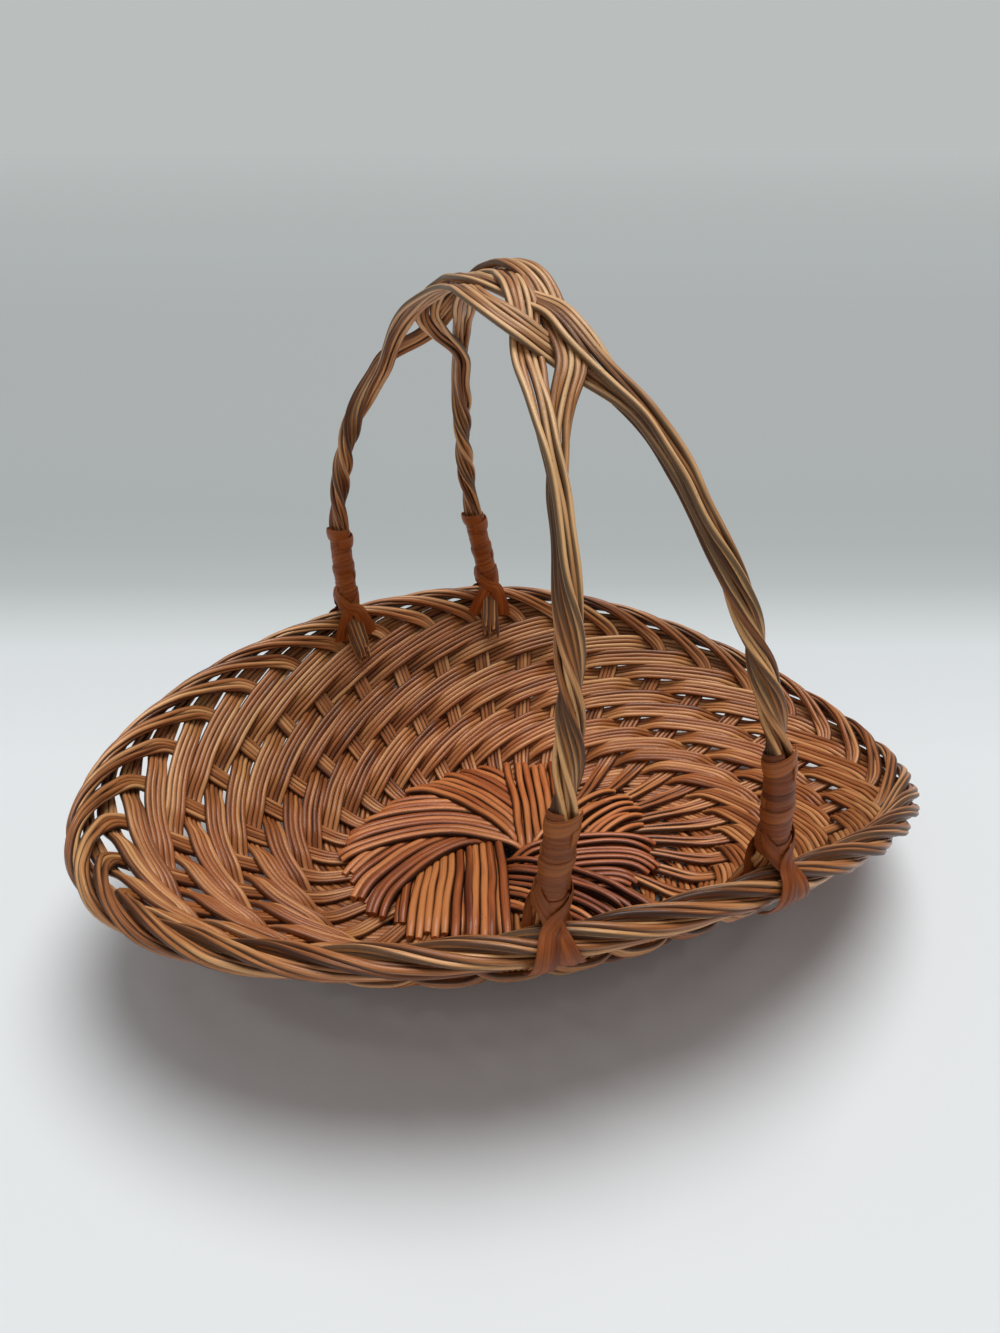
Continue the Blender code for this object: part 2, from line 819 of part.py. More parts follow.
def main():
    for piece in list(bpy.data.objects):
        bpy.data.objects.remove(piece)
    wall_cane = cane_material("wall_cane", (0.36, 0.15, 0.055), 0.45)
    base_cane = cane_material("base_cane", (0.40, 0.13, 0.04), 0.42)
    handle_cane = cane_material("handle_cane", (0.34, 0.16, 0.065), 0.45)
    peel = cane_material("binding_peel", (0.42, 0.17, 0.05), 0.5)
    for number in range(stake_count):
        piece = sweep("wall_band_%02d" % (number + 1), band_stations(number))
        piece.data.materials.append(wall_cane)
    for arm in range(arm_count):
        base_arm(arm).data.materials.append(base_cane)
    foot_ring().data.materials.append(wall_cane)
    handle = (
        ("handle_band_over", "far_left", "near_right", crown_over_shares),
        ("handle_band_under", "far_right", "near_left", crown_under_shares),
        ("handle_band_left", "far_left", "near_left", crown_left_shares),
        ("handle_band_right", "far_right", "near_right", crown_right_shares),
    )
    for row in handle:
        handle_band(*row).data.materials.append(handle_cane)
    for leg in legs.values():
        binding(leg).data.materials.append(peel)
        tie(leg).data.materials.append(peel)


main()
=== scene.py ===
# %% [markdown]
# # A gathering basket of round cane
# This notebook dresses the plain solids of a basket. Each solid stands for a band of canes, and
# here every cane of it becomes a round, slightly uneven rod with a varnished skin.

import math

import bpy
import numpy as np
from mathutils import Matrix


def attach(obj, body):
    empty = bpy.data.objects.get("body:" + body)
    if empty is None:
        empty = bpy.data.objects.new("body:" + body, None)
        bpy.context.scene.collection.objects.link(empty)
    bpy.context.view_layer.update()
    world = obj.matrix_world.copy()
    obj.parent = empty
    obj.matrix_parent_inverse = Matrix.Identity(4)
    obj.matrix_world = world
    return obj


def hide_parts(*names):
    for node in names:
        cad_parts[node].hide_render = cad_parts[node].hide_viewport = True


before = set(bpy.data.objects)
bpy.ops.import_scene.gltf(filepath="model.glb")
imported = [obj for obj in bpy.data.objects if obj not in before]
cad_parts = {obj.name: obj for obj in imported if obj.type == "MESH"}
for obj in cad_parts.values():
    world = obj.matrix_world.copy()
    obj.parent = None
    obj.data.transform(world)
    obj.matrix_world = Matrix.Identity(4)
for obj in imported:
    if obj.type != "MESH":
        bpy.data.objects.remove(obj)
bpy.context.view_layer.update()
print("solids:", len(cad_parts))

# %% [markdown]
# ## Sizes
# The canes have to lie where the solids lie, so the sizes are the same as theirs. Lengths are in
# metres, the long axis is X and the basket stands on Z = 0.

# %% Sizes of the bowl, the base and the handle
rim_half_length = 0.1995
rim_half_width = 0.1455
rim_height_middle = 0.0930
rim_height_left_end = 0.0740
rim_height_right_end = 0.0410
foot_half_length = 0.1000
foot_half_width = 0.0740
wall_belly = 0.0060

stake_count = 36
cane_thickness = 0.0024
band_width = 0.0090
stake_foot_width = 0.0064
layer_step = 0.0028
bundle_width = 0.0046
bundle_thickness = 0.0036
turn_rise = 0.0105
roll_half_width = 0.0038

arm_count = 8
foot_ring_height = 0.0078
foot_ring_width = 0.0120
base_height = 0.0121

handle_height = 0.2860
leg_half_spacing = 0.0465
leg_inset = 0.0015
leg_tail_length = 0.0240
handle_band_width = 0.0064
handle_band_thickness = 0.0042
crown_half_length = 0.1000
crown_half_width = 0.0200
crown_layer = 0.0034
peel_width = 0.0042
peel_pitch = 0.0051
peel_thickness = 0.0006
binding_turns = 8
binding_lift = 0.0032

# %% Shares that carry no length
even_spacing = 0.15
turn_start = 0.835
first_arc = 0.878
arc_step = 0.092
arc_tuck_crossing = 13
arc_end_crossing = 15
stake_start = -0.50
near_power = 1.7
far_power = 2.15
near_crown = 0.9
leg_lean = 0.40
leg_twist_turns = 1.25

border_rows = (
    (0.20, 0.42, 1.36, 0.00, 0.20),
    (0.50, 0.76, 1.02, 0.00, 0.45),
    (0.78, 0.95, 0.70, 0.05, 0.70),
    (1.05, 1.04, 0.44, 0.20, 0.90),
    (1.35, 0.95, 0.21, 0.45, 1.00),
    (1.65, 0.62, 0.07, 0.72, 1.00),
    (2.00, 0.05, 0.00, 1.00, 1.00),
    (2.35, -0.62, 0.06, 1.28, 1.00),
    (2.65, -0.95, 0.17, 1.55, 1.00),
    (2.95, -1.04, 0.45, 1.80, 0.90),
    (3.40, -0.95, 0.82, 2.00, 0.60),
)
stake_step = 2.0 * math.pi / stake_count
print("stake step: %.1f degrees" % math.degrees(stake_step))

# %% [markdown]
# ## The shape of the bowl
# The wall is a surface that can be asked for a point by two numbers: how far round the oval, and
# which share of the way from the foot to the rim. Writing it for whole arrays of numbers keeps
# thousands of points quick. A point can be lifted off the surface into the bowl, which is how one
# cane passes inside another.

# %% Points on the wall
def lengths_of(vectors):
    return np.linalg.norm(vectors, axis=-1, keepdims=True)


def unit(vectors):
    return vectors / lengths_of(vectors)


def smooth(value):
    value = np.clip(value, 0.0, 1.0)
    return value * value * (3.0 - 2.0 * value)


def oval_angle(turn):
    return turn + 0.5 * even_spacing * np.sin(2.0 * turn)


def wall_middle(turn, share):
    """Middle of the wall; a share under nought lies flat under the base, one is the rim."""
    turn, share = np.broadcast_arrays(np.asarray(turn, float), np.asarray(share, float))
    angle = oval_angle(turn)
    across = np.stack([np.cos(angle), np.sin(angle), np.zeros_like(angle)], -1)
    foot = across * (foot_half_length, foot_half_width, 0.0) + (0.0, 0.0, base_height)
    end = np.where(np.cos(angle) > 0.0, rim_height_right_end, rim_height_left_end)
    blend = np.cos(angle) ** 2
    rim = across * (rim_half_length, rim_half_width, 0.0)
    rim[..., 2] = rim_height_middle * (1.0 - blend) + end * blend
    line = rim - foot
    flat = unit(line * (1.0, 1.0, 0.0))
    rise = unit(line)
    outward = flat * rise[..., 2:] - np.sum(rise * flat, -1, keepdims=True) * (0.0, 0.0, 1.0)
    bulge = wall_belly * np.sin(math.pi * np.clip(share, 0.0, 1.0))[..., None]
    upright = foot + line * share[..., None] + outward * bulge
    level = foot + across * share[..., None] * lengths_of(line)
    return np.where(share[..., None] > 0.0, upright, level)


def wall_directions(turn, share):
    """Along the wall, up the wall and into the bowl at a point of the wall."""
    step = 0.004
    along = unit(wall_middle(turn + step, share) - wall_middle(turn - step, share))
    up = unit(wall_middle(turn, share + step) - wall_middle(turn, share - step))
    return along, up, unit(np.cross(up, along))


def wall_point(turn, share, lift):
    inward = wall_directions(turn, share)[2]
    return wall_middle(turn, share) + inward * np.asarray(lift)[..., None]


def wall_length(turn):
    return lengths_of(wall_middle(turn, 1.0) - wall_middle(turn, 0.0))[..., 0]


print("wall length at the side %.1f mm" % (1000.0 * wall_length(math.pi / 2.0)))

# %% [markdown]
# ## Paths of canes
# A path is an array of points. Real cane can't turn a sharp corner, so each path is walked at an
# even pace and its corners are rounded by averaging neighbours a few times. A band holds several
# canes that are treated together, so that they stay side by side.

# %% Even and rounded paths
point_gap = 0.0028


def between_rows(rows, places):
    """A smooth curve through rows of numbers, asked for at places counted in rows."""
    places = np.clip(places, 0.0, len(rows) - 1.0)
    index = np.minimum(places.astype(int), len(rows) - 2)
    part = (places - index)[:, None]
    near = [rows[np.clip(index + step, 0, len(rows) - 1)] for step in range(-1, 3)]
    rise_low = (near[2] - near[0]) / 2.0
    rise_high = (near[3] - near[1]) / 2.0
    square = part * part
    cube = square * part
    return (near[1] * (2.0 * cube - 3.0 * square + 1.0) + rise_low * (cube - 2.0 * square + part)
            + near[2] * (3.0 * square - 2.0 * cube) + rise_high * (cube - square))


def along_rows(rows, count):
    """So many even places on the smooth curve through rows of numbers."""
    return between_rows(np.array(rows), np.linspace(0.0, len(rows) - 1.0, count))


def distances(points):
    """How far along a path each of its points lies."""
    return np.concatenate([[0.0], np.cumsum(np.linalg.norm(np.diff(points, axis=0), axis=1))])


def rounded(lines, times):
    """Round the corners of paths by averaging neighbours; their ends stay."""
    for _ in range(times):
        lines[:, 1:-1] = lines[:, 1:-1] * 0.5 + (lines[:, :-2] + lines[:, 2:]) * 0.25
    return lines


def even_band(canes, gap, rounding):
    """Walk a band of canes (canes, points, 3) at an even gap and round its corners."""
    walked = distances(canes.mean(axis=0))
    count = max(int(walked[-1] / gap), 4)
    places = np.linspace(0.0, walked[-1], count + 1)
    even = np.empty((len(canes), count + 1, 3))
    for index, cane in enumerate(canes):
        for axis in range(3):
            even[index, :, axis] = np.interp(places, walked, cane[:, axis])
    return rounded(even, rounding)


def wander(canes, amount, chance, wave=0.045):
    """Let each cane of a band stray a little from its place, as hand work does."""
    walked = np.arange(canes.shape[1]) * point_gap
    result = canes.copy()
    for index in range(len(canes)):
        for axis in range(3):
            for octave in (1.0, 2.3):
                phase, size = chance.uniform(0.0, 2.0 * math.pi), chance.normal(0.0, amount)
                swing = np.sin(walked * octave / wave * 2.0 * math.pi + phase)
                result[index, :, axis] += size / octave * swing
    return result

# %% [markdown]
# ## Helpers for nodes and meshes
# A node tree takes many small steps: add a node, set its options, fill or link its inputs. These
# helpers say that in one call, for geometry and shader trees alike. The last two put an object in
# the scene and store one number for each point of a mesh.

# %% Add nodes, objects and carried numbers
def fill(tree, node, inputs):
    """Give a node's inputs numbers, colours or the outputs of other nodes."""
    for label, value in dict(inputs).items():
        if isinstance(value, bpy.types.NodeSocket):
            tree.links.new(value, node.inputs[label])
        else:
            node.inputs[label].default_value = value
    return node


def put(tree, kind, inputs=(), **options):
    """Add a node, set its options and fill its inputs."""
    node = tree.nodes.new(kind)
    for name, value in options.items():
        setattr(node, name, value)
    return fill(tree, node, inputs)


def maths_in(tree):
    """A function that adds Math nodes to one tree and gives back what they work out."""
    def maths(operation, *values):
        return put(tree, "ShaderNodeMath", enumerate(values), operation=operation).outputs[0]
    return maths


def ramp(tree, factor, stops):
    """A Color Ramp; the first and the last of its (position, colour) stops are its ends."""
    node = put(tree, "ShaderNodeValToRGB", {0: factor})
    elements = node.color_ramp.elements
    elements[0].color, elements[1].color = (*stops[0][1], 1.0), (*stops[-1][1], 1.0)
    for position, colour in stops[1:-1]:
        elements.new(position).color = (*colour, 1.0)
    return node.outputs[0]


def add_object(name, data):
    thing = bpy.data.objects.new(name, data)
    bpy.context.scene.collection.objects.link(thing)
    return thing


def carry(mesh, label, values):
    mesh.attributes.new(label, "FLOAT", "POINT").data.foreach_set("value", np.array(values, np.float32))

# %% [markdown]
# ## Cane tree
# A cane is a circle carried along a path. Geometry Nodes do this for all canes of a piece at once:
# the paths come in as loose edges with a few stored numbers, each becomes a curve, its radius
# varies by noise along its length, and a circle is swept along it. The tree also stores how far a
# point faces its neighbour cane, which the skin uses to paint shade into the narrow grooves between canes.

# %% Build the cane tree
tree_inputs = (("Paths", "Geometry", None), ("Thickness", "Float", cane_thickness), ("Sides", "Int", 8),
               ("Unevenness", "Float", 0.08), ("Seed", "Float", 0.0), ("Finish", "Material", None))


def build_cane_tree():
    tree = bpy.data.node_groups.new("lay_canes", "GeometryNodeTree")
    for name, kind, value in tree_inputs:
        socket = tree.interface.new_socket(name=name, in_out="INPUT", socket_type="NodeSocket" + kind)
        if value is not None:
            socket.default_value = value
    tree.interface.new_socket(name="Canes", in_out="OUTPUT", socket_type="NodeSocketGeometry")
    enter, leave = put(tree, "NodeGroupInput").outputs, put(tree, "NodeGroupOutput")
    maths = maths_in(tree)

    def named(name, kind="FLOAT"):
        return put(tree, "GeometryNodeInputNamedAttribute", {"Name": name}, data_type=kind).outputs["Attribute"]

    def store(geometry, name, value):
        return put(tree, "GeometryNodeStoreNamedAttribute", {"Geometry": geometry, "Name": name, "Value": value},
                   data_type="FLOAT", domain="POINT").outputs[0]

    curves = put(tree, "GeometryNodeMeshToCurve", {"Mesh": enter["Paths"]})
    place = put(tree, "ShaderNodeCombineXYZ", {"X": maths("MULTIPLY", named("along"), 38.0),
                                               "Y": maths("MULTIPLY", named("tone"), 91.0), "Z": enter["Seed"]})
    noise = put(tree, "ShaderNodeTexNoise", {"Vector": place.outputs[0], "Detail": 2.0, "Scale": 1.0})
    sway = maths("MULTIPLY", maths("SUBTRACT", noise.outputs[0], 0.5), enter["Unevenness"])
    sway = maths("ADD", maths("MULTIPLY", sway, 2.0), 1.0)
    radius = maths("MULTIPLY", maths("MULTIPLY", enter["Thickness"], 0.5), named("size"))
    rods = put(tree, "GeometryNodeSetCurveRadius", {"Curve": curves.outputs[0],
                                                    "Radius": maths("MULTIPLY", radius, sway)})
    circle = put(tree, "GeometryNodeCurvePrimitiveCircle", {"Radius": 1.0, "Resolution": enter["Sides"]})
    around = store(circle.outputs[0], "around", put(tree, "GeometryNodeSplineParameter").outputs["Factor"])
    own_radius = put(tree, "GeometryNodeInputRadius").outputs[0]
    sweep = put(tree, "GeometryNodeCurveToMesh", {"Curve": rods.outputs[0], "Profile Curve": around,
                                                  "Scale": own_radius, "Fill Caps": True})
    outward = put(tree, "GeometryNodeInputNormal").outputs["Normal"]
    facing = put(tree, "ShaderNodeVectorMath", {0: outward, 1: named("across", "FLOAT_VECTOR")},
                 operation="DOT_PRODUCT")
    # How far a point faces its neighbour cane, stored for the painted shade in the grooves
    with_groove_shade = store(sweep.outputs[0], "groove_shade", maths("ABSOLUTE", facing.outputs["Value"]))
    shade = put(tree, "GeometryNodeSetShadeSmooth", {"Geometry": with_groove_shade})
    real = put(tree, "GeometryNodeRealizeInstances", {0: shade.outputs[0]})
    skin = put(tree, "GeometryNodeSetMaterial", {"Geometry": real.outputs[0], "Material": enter["Finish"]})
    fill(tree, leave, {0: skin.outputs[0]})
    return tree


cane_tree = build_cane_tree()
print("cane tree nodes:", len(cane_tree.nodes))

# %% [markdown]
# ## From paths to a finished piece
# The paths are stored as a mesh of edges with named numbers for the tree. After the tree has run,
# the result is copied to a plain mesh, so that the finished piece carries no live modifier and
# sits at the origin.

# %% Lay canes as one piece
tone_shift = 3.7


def path_mesh(name, paths):
    """A mesh of edges from paths: rows of (points, size, tone, across)."""
    mesh = bpy.data.meshes.new(name)
    points, edges, size, tone, along, across = [], [], [], [], [], []
    for path, thick, colour, side in paths:
        start = len(points)
        points.extend(map(tuple, path))
        edges.extend((start + step, start + step + 1) for step in range(len(path) - 1))
        size.extend(np.broadcast_to(thick, len(path)))
        tone.extend([colour] * len(path))
        along.extend(distances(path) + colour * tone_shift)
        across.extend(np.broadcast_to(side, (len(path), 3)).ravel())
    mesh.from_pydata(points, edges, [])
    for label, values in (("size", size), ("tone", tone), ("along", along)):
        carry(mesh, label, values)
    sideways = mesh.attributes.new("across", "FLOAT_VECTOR", "POINT")
    sideways.data.foreach_set("vector", np.array(across, np.float32))
    return mesh


def cane_ends(count, near=0.72, tip=0.43):
    """Sizes along a cane that is cut round at its ends."""
    size = np.ones(count)
    size[[1, -2]] = near
    size[[0, -1]] = tip
    return size


def lay_canes(name, paths, node, finish, thickness=cane_thickness, sides=8, uneven=0.08, seed=0.0):
    draft = add_object(name + "_paths", path_mesh(name + "_paths", paths))
    modifier = draft.modifiers.new("canes", "NODES")
    modifier.node_group = cane_tree
    values = {"Thickness": thickness, "Sides": sides, "Unevenness": uneven, "Seed": seed, "Finish": finish}
    for item in cane_tree.interface.items_tree:
        if item.name in values:
            modifier[item.identifier] = values[item.name]
    shaped = draft.evaluated_get(bpy.context.evaluated_depsgraph_get())
    mesh = bpy.data.meshes.new_from_object(shaped)
    mesh.name = name
    bpy.data.objects.remove(draft)
    piece = add_object(name, mesh)
    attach(piece, "root")
    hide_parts(node)
    return piece

# %% [markdown]
# ## Varnished cane skin
# Peeled cane is straw to red brown, each rod a little different, with fine lengthwise grain, paler
# worn patches and dark flecks. The sides of a cane that face its neighbours are darkened with
# painted shade in the grooves. All of this depends on numbers that the canes carry with them, so
# the pattern follows every bend. Over it, a tint by height changes the colour with height; at the
# top it paints light, the crown of the handle paler and whiter as if lit from above, and its legs
# darker. The shared part is a node group that gives a colour, a roughness and a height; the shader
# itself stays in each material.

# %% Skin node group
def linear(red, green, blue):
    """A colour as a screen shows it, from 0 to 255, in the linear values that Blender wants."""
    values = []
    for value in (red, green, blue):
        value /= 255.0
        values.append(value / 12.92 if value < 0.04045 else ((value + 0.055) / 1.055) ** 2.4)
    return tuple(values)


skin_colours = ("Pale", "Warm", "Deep", "Fleck and groove shade")
skin_sockets = (("INPUT", "Color", skin_colours), ("INPUT", "Float", ("Groove shade strength",)),
                ("OUTPUT", "Color", ("Colour",)), ("OUTPUT", "Float", ("Roughness", "Height")))
# Tint by height: at the crown of the handle it is painted light, paler and whiter as if lit from above; the legs
# are darker, the lowest canes warmer and darker
painted_light_by_height = ((0.00, (1.04, 0.84, 0.68)), (0.10, (1.06, 1.01, 0.92)), (0.20, (1.23, 1.18, 1.11)),
                  (0.30, (1.06, 1.02, 0.98)), (0.50, (0.99, 0.91, 0.85)), (0.75, (1.00, 0.98, 0.98)),
                  (1.00, (1.08, 1.20, 1.35)))
tint_by_place = ((0.00, (1.01, 1.00, 0.93)), (1.00, (1.05, 0.97, 0.94)))
tint_from, tint_to = 0.010, 0.290
tone_turns = 13.7
skin_roughness = 0.42
grain_depth = 0.00035


def build_skin_group():
    group = bpy.data.node_groups.new("cane_skin", "ShaderNodeTree")
    for way, kind, names in skin_sockets:
        for name in names:
            group.interface.new_socket(name=name, in_out=way, socket_type="NodeSocket" + kind)
    enter, leave = put(group, "NodeGroupInput").outputs, put(group, "NodeGroupOutput")
    maths = maths_in(group)

    def spread(value, low, high):
        """Nought at the low value and one at the high value, easing between them."""
        return put(group, "ShaderNodeMapRange", {"Value": value, "From Min": low, "From Max": high},
                   interpolation_type="SMOOTHSTEP").outputs[0]

    def blend(factor, first, second, kind="MIX"):
        return put(group, "ShaderNodeMix", {0: factor, 6: first, 7: second},
                   data_type="RGBA", blend_type=kind).outputs[2]

    tone, along, around, groove_shade = [put(group, "ShaderNodeAttribute", attribute_name=name).outputs["Fac"]
                                   for name in ("tone", "along", "around", "groove_shade")]
    turn = maths("MULTIPLY", around, 2.0 * math.pi)

    def noise(length_scale, girth, detail):
        """Noise on the skin of a cane; a small length scale draws it out to long streaks."""
        place = put(group, "ShaderNodeCombineXYZ", {"X": maths("MULTIPLY", along, length_scale),
                                                    "Y": maths("MULTIPLY", maths("COSINE", turn), girth),
                                                    "Z": maths("MULTIPLY", maths("SINE", turn), girth)})
        inputs = {"Vector": place.outputs[0], "W": maths("MULTIPLY", tone, 57.0), "Scale": 1.0,
                  "Detail": detail, "Roughness": 0.6}
        return put(group, "ShaderNodeTexNoise", inputs, noise_dimensions="4D").outputs[0]

    patches, streaks = noise(26.0, 0.35, 2.0), noise(34.0, 3.2, 4.0)
    fine, flecks = noise(120.0, 6.0, 3.0), spread(noise(420.0, 2.6, 2.0), 0.66, 0.76)
    own = maths("FRACT", maths("MULTIPLY", tone, tone_turns))
    warmth = maths("ADD", own, maths("MULTIPLY", maths("SUBTRACT", patches, 0.5), 1.5))
    colour = blend(spread(warmth, 0.10, 0.60), enter["Pale"], enter["Warm"])
    colour = blend(spread(warmth, 0.60, 1.25), colour, enter["Deep"])
    colour = blend(maths("MULTIPLY", spread(streaks, 0.50, 0.72), 0.62), colour, enter["Deep"])
    colour = blend(maths("MULTIPLY", spread(streaks, 0.50, 0.30), 0.50), colour, enter["Pale"])
    colour = blend(maths("MULTIPLY", flecks, 0.75), colour, enter["Fleck and groove shade"])
    # Painted shade: the sides of a cane that face its neighbours turn toward the dark groove colour and grow
    # rougher
    hidden = maths("MULTIPLY", spread(groove_shade, 0.42, 0.94), enter["Groove shade strength"])
    colour = blend(hidden, colour, enter["Fleck and groove shade"])
    place = put(group, "ShaderNodeTexCoord").outputs["Object"]
    height_of = put(group, "ShaderNodeSeparateXYZ", {0: place}).outputs["Z"]
    cloud = put(group, "ShaderNodeTexNoise", {"Vector": place, "Scale": 17.0, "Detail": 1.0}).outputs[0]
    # The first tint is painted light by height, the second random patches of tone
    for tint in (ramp(group, spread(height_of, tint_from, tint_to), painted_light_by_height),
                 ramp(group, spread(cloud, 0.36, 0.64), tint_by_place)):
        colour = blend(1.0, colour, tint, "MULTIPLY")
    rough = maths("ADD", skin_roughness, maths("MULTIPLY", maths("SUBTRACT", fine, 0.5), 0.30))
    height = maths("ADD", maths("MULTIPLY", streaks, 0.7), maths("MULTIPLY", fine, 0.3))
    fill(group, leave, {"Colour": colour, "Roughness": maths("ADD", rough, maths("MULTIPLY", hidden, 0.22)),
                        "Height": maths("SUBTRACT", height, maths("MULTIPLY", flecks, 0.25))})
    return group


skin_group = build_skin_group()
print("skin nodes:", len(skin_group.nodes))

# %% [markdown]
# ### Four skins
# Each material keeps its own shader and takes the pattern from the group. The colours are the
# canes' tones as a screen shows them, and the coat is the varnish. The last colour is for dark
# flecks and for the painted shade in the grooves between canes.

# %% Materials of the canes and the peel
def new_material(name):
    material = bpy.data.materials.new(name)
    material.use_nodes = True
    return material, material.node_tree, material.node_tree.nodes["Principled BSDF"]


def skin_material(name, colours, groove_shade_strength, coat):
    """A skin from four screen colours: pale, warm, deep, and one for flecks and painted groove shade."""
    material, tree, shader = new_material(name)
    inputs = {label: (*linear(*colour), 1.0) for label, colour in zip(skin_colours, colours)}
    skin = put(tree, "ShaderNodeGroup", {**inputs, "Groove shade strength": groove_shade_strength},
               node_tree=skin_group).outputs
    raised = put(tree, "ShaderNodeBump", {"Height": skin["Height"], "Strength": 0.7, "Distance": grain_depth})
    fill(tree, shader, {"Base Color": skin["Colour"], "Roughness": skin["Roughness"],
                        "Normal": raised.outputs[0], "Coat Weight": coat, "Coat Roughness": 0.20,
                        "Specular IOR Level": 0.28})
    return material


# Each skin's last colour darkens flecks and is the painted shade in the grooves between canes
wall_skin = skin_material("wall_cane_skin", ((206, 158, 110), (166, 108, 63), (100, 54, 25), (32, 11, 3)),
                          groove_shade_strength=0.85, coat=0.32)
base_skin = skin_material("base_cane_skin", ((210, 145, 92), (168, 98, 52), (104, 48, 20), (26, 6, 1)),
                          groove_shade_strength=0.95, coat=0.36)
handle_skin = skin_material("handle_cane_skin", ((228, 178, 124), (176, 116, 67), (102, 56, 26), (36, 16, 6)),
                            groove_shade_strength=0.8, coat=0.28)
peel_skin = skin_material("binding_peel_skin", ((162, 94, 42), (130, 68, 28), (84, 38, 13), (48, 20, 6)),
                          groove_shade_strength=0.3, coat=0.04)
print("skins:", wall_skin.name, base_skin.name, handle_skin.name, peel_skin.name)

# %% [markdown]
# ## Wall bands
# Thirty-six alike bands make the wall. A band stands up as a stake, is drawn together to a round
# bundle as it turns over the rim, spreads again and comes down the wall as a long arc that
# passes inside two stakes and outside the next. Under the base a stake's four canes lie two over
# two, and the canes of the arc grow a little thicker on their way. One function gives the path of
# each cane, and a loop lays all bands.

# %% Paths of a wall band
band_tightness = 0.97
arc_tightness = 1.06
wall_cane = 0.0026
wall_stray = 0.00011
pair_depth = 0.0011
pair_closeness = 0.9
stake_butt_growth, butt_length, butt_fade = 0.25, 0.015, 0.043
arc_growth, growth_start, growth_length = 0.15, 0.09, 0.04


def stake_opening(share):
    """How far a stake has opened from two canes over two to four side by side."""
    return smooth((share + 0.34) / 0.45)


def stake_width(share):
    return stake_foot_width + (band_width - stake_foot_width) * stake_opening(share)


def arc_side(crossing):
    outside = (crossing >= arc_tuck_crossing) | ((crossing - 4) % 3 == 0)
    return np.where(outside, -1.0, 1.0)


def arc_lift(crossing):
    """How far into the bowl an arc runs, easing from one side of the stakes to the other."""
    low = np.floor(crossing)
    part = crossing - low
    eased = smooth((part - 0.28) / 0.44)
    return layer_step * (arc_side(low) * (1.0 - eased) + arc_side(low + 1) * eased)


def band_canes(home, count=4):
    """Paths of the canes of one band, side by side in the wall and bundled at the rim."""
    place = (np.arange(count) + 0.5) / count * 2.0 - 1.0
    pair = np.where(np.arange(count) < count / 2, -0.5, 0.5)
    layer = np.where(np.arange(count) % 2 == 0, -0.55, 0.55)
    share = np.linspace(stake_start, turn_start - 0.03, 30)
    along, up, inward = wall_directions(home, share)
    middle = wall_middle(home, share)
    half = (stake_width(share) / 2.0)[:, None]
    paired = 1.0 - stake_opening(share)[:, None]
    stake = []
    for offset, beside, deep in zip(place, pair, layer):
        across = offset * band_tightness * (1.0 - paired) + beside * pair_closeness * paired
        stake.append(middle - along * half * across + inward * deep * pair_depth * paired)

    rows = along_rows(border_rows, 34)
    turn = home + rows[:, 0] * stake_step
    top = wall_middle(turn, 1.0)
    along, up, inward = wall_directions(turn, 0.97)
    centre = top + inward * rows[:, 1:2] * roll_half_width - up * rows[:, 2:3] * turn_rise
    roll = rows[:, 3:4] * math.pi / 2.0
    facing = inward * np.cos(roll) + up * np.sin(roll)
    travel = unit(np.gradient(centre, axis=0))
    sideways = unit(np.cross(travel, facing))
    drawn = np.clip(rows[:, 4:5], 0.0, 1.0)
    width = (band_width + (bundle_width - band_width) * drawn) / 2.0
    thick = (cane_thickness + (bundle_thickness - cane_thickness) * drawn) / 2.0
    border = []
    for offset, beside, deep in zip(place, pair, layer):
        across = offset * (1.0 - drawn) + beside * drawn
        border.append(centre + sideways * width * across + facing * thick * deep * drawn)

    crossing = np.arange(3.95, arc_end_crossing + 0.32, 0.11)
    share = first_arc - arc_step * (crossing - 4.0)
    turn = home + crossing * stake_step
    lift = arc_lift(crossing)
    half_step = stake_step / 2.0
    spacing = lengths_of(wall_middle(turn + half_step, share) - wall_middle(turn - half_step, share))[:, 0]
    length = wall_length(turn)
    slope = arc_step * length / spacing
    tall = band_width * arc_tightness * np.hypot(1.0, slope)
    arcs = [wall_point(turn, share - offset * tall / 2.0 / length, lift) for offset in place]
    return np.stack([np.concatenate(parts) for parts in zip(stake, border, arcs)])


print("points of a band's cane:", band_canes(0.0).shape[1])

# %% Lay the wall bands
chance = np.random.default_rng(36)
wall_triangles = 0
for number in range(stake_count):
    canes = even_band(band_canes(number * stake_step), point_gap, 3)
    canes = wander(canes, wall_stray, chance)
    across = unit(canes[-1] - canes[0])
    band_tone = chance.uniform()
    paths = []
    for cane in canes:
        cut = slice(chance.integers(0, 3), canes.shape[1] - chance.integers(0, 5))
        walked = np.arange(len(cane[cut])) * point_gap
        butt = 1.0 - smooth((walked - butt_length) / butt_fade)
        grown = arc_growth * smooth((walked - growth_start) / growth_length)
        thick = cane_ends(len(walked)) * chance.uniform(0.95, 1.05) * (1.0 + stake_butt_growth * butt + grown)
        tone = 0.75 * band_tone + 0.25 * chance.uniform()
        paths.append((cane[cut], thick, tone, across[cut]))
    name = "wall_band_%02d" % (number + 1)
    piece = lay_canes("canes_of_" + name, paths, name, wall_skin, wall_cane, uneven=0.05,
                      seed=number * 1.7)
    wall_triangles += sum(len(face.vertices) - 2 for face in piece.data.polygons)
print("wall bands:", stake_count, "triangles:", wall_triangles)

# %% [markdown]
# ## Base arms
# Eight wide bands make a pinwheel in the middle of the base. In each, all canes run alongside its
# leading edge, which lies on top, and each cane begins where it comes out from under the arm
# behind. Each row says how many canes an arm has, how far it reaches, and how its leading edge runs,
# in hundredths of the foot's half length. The edges are as the hand left them: some straight, some
# bent, the right ones shorter and looser. More canes lie half a step aside as an under layer.

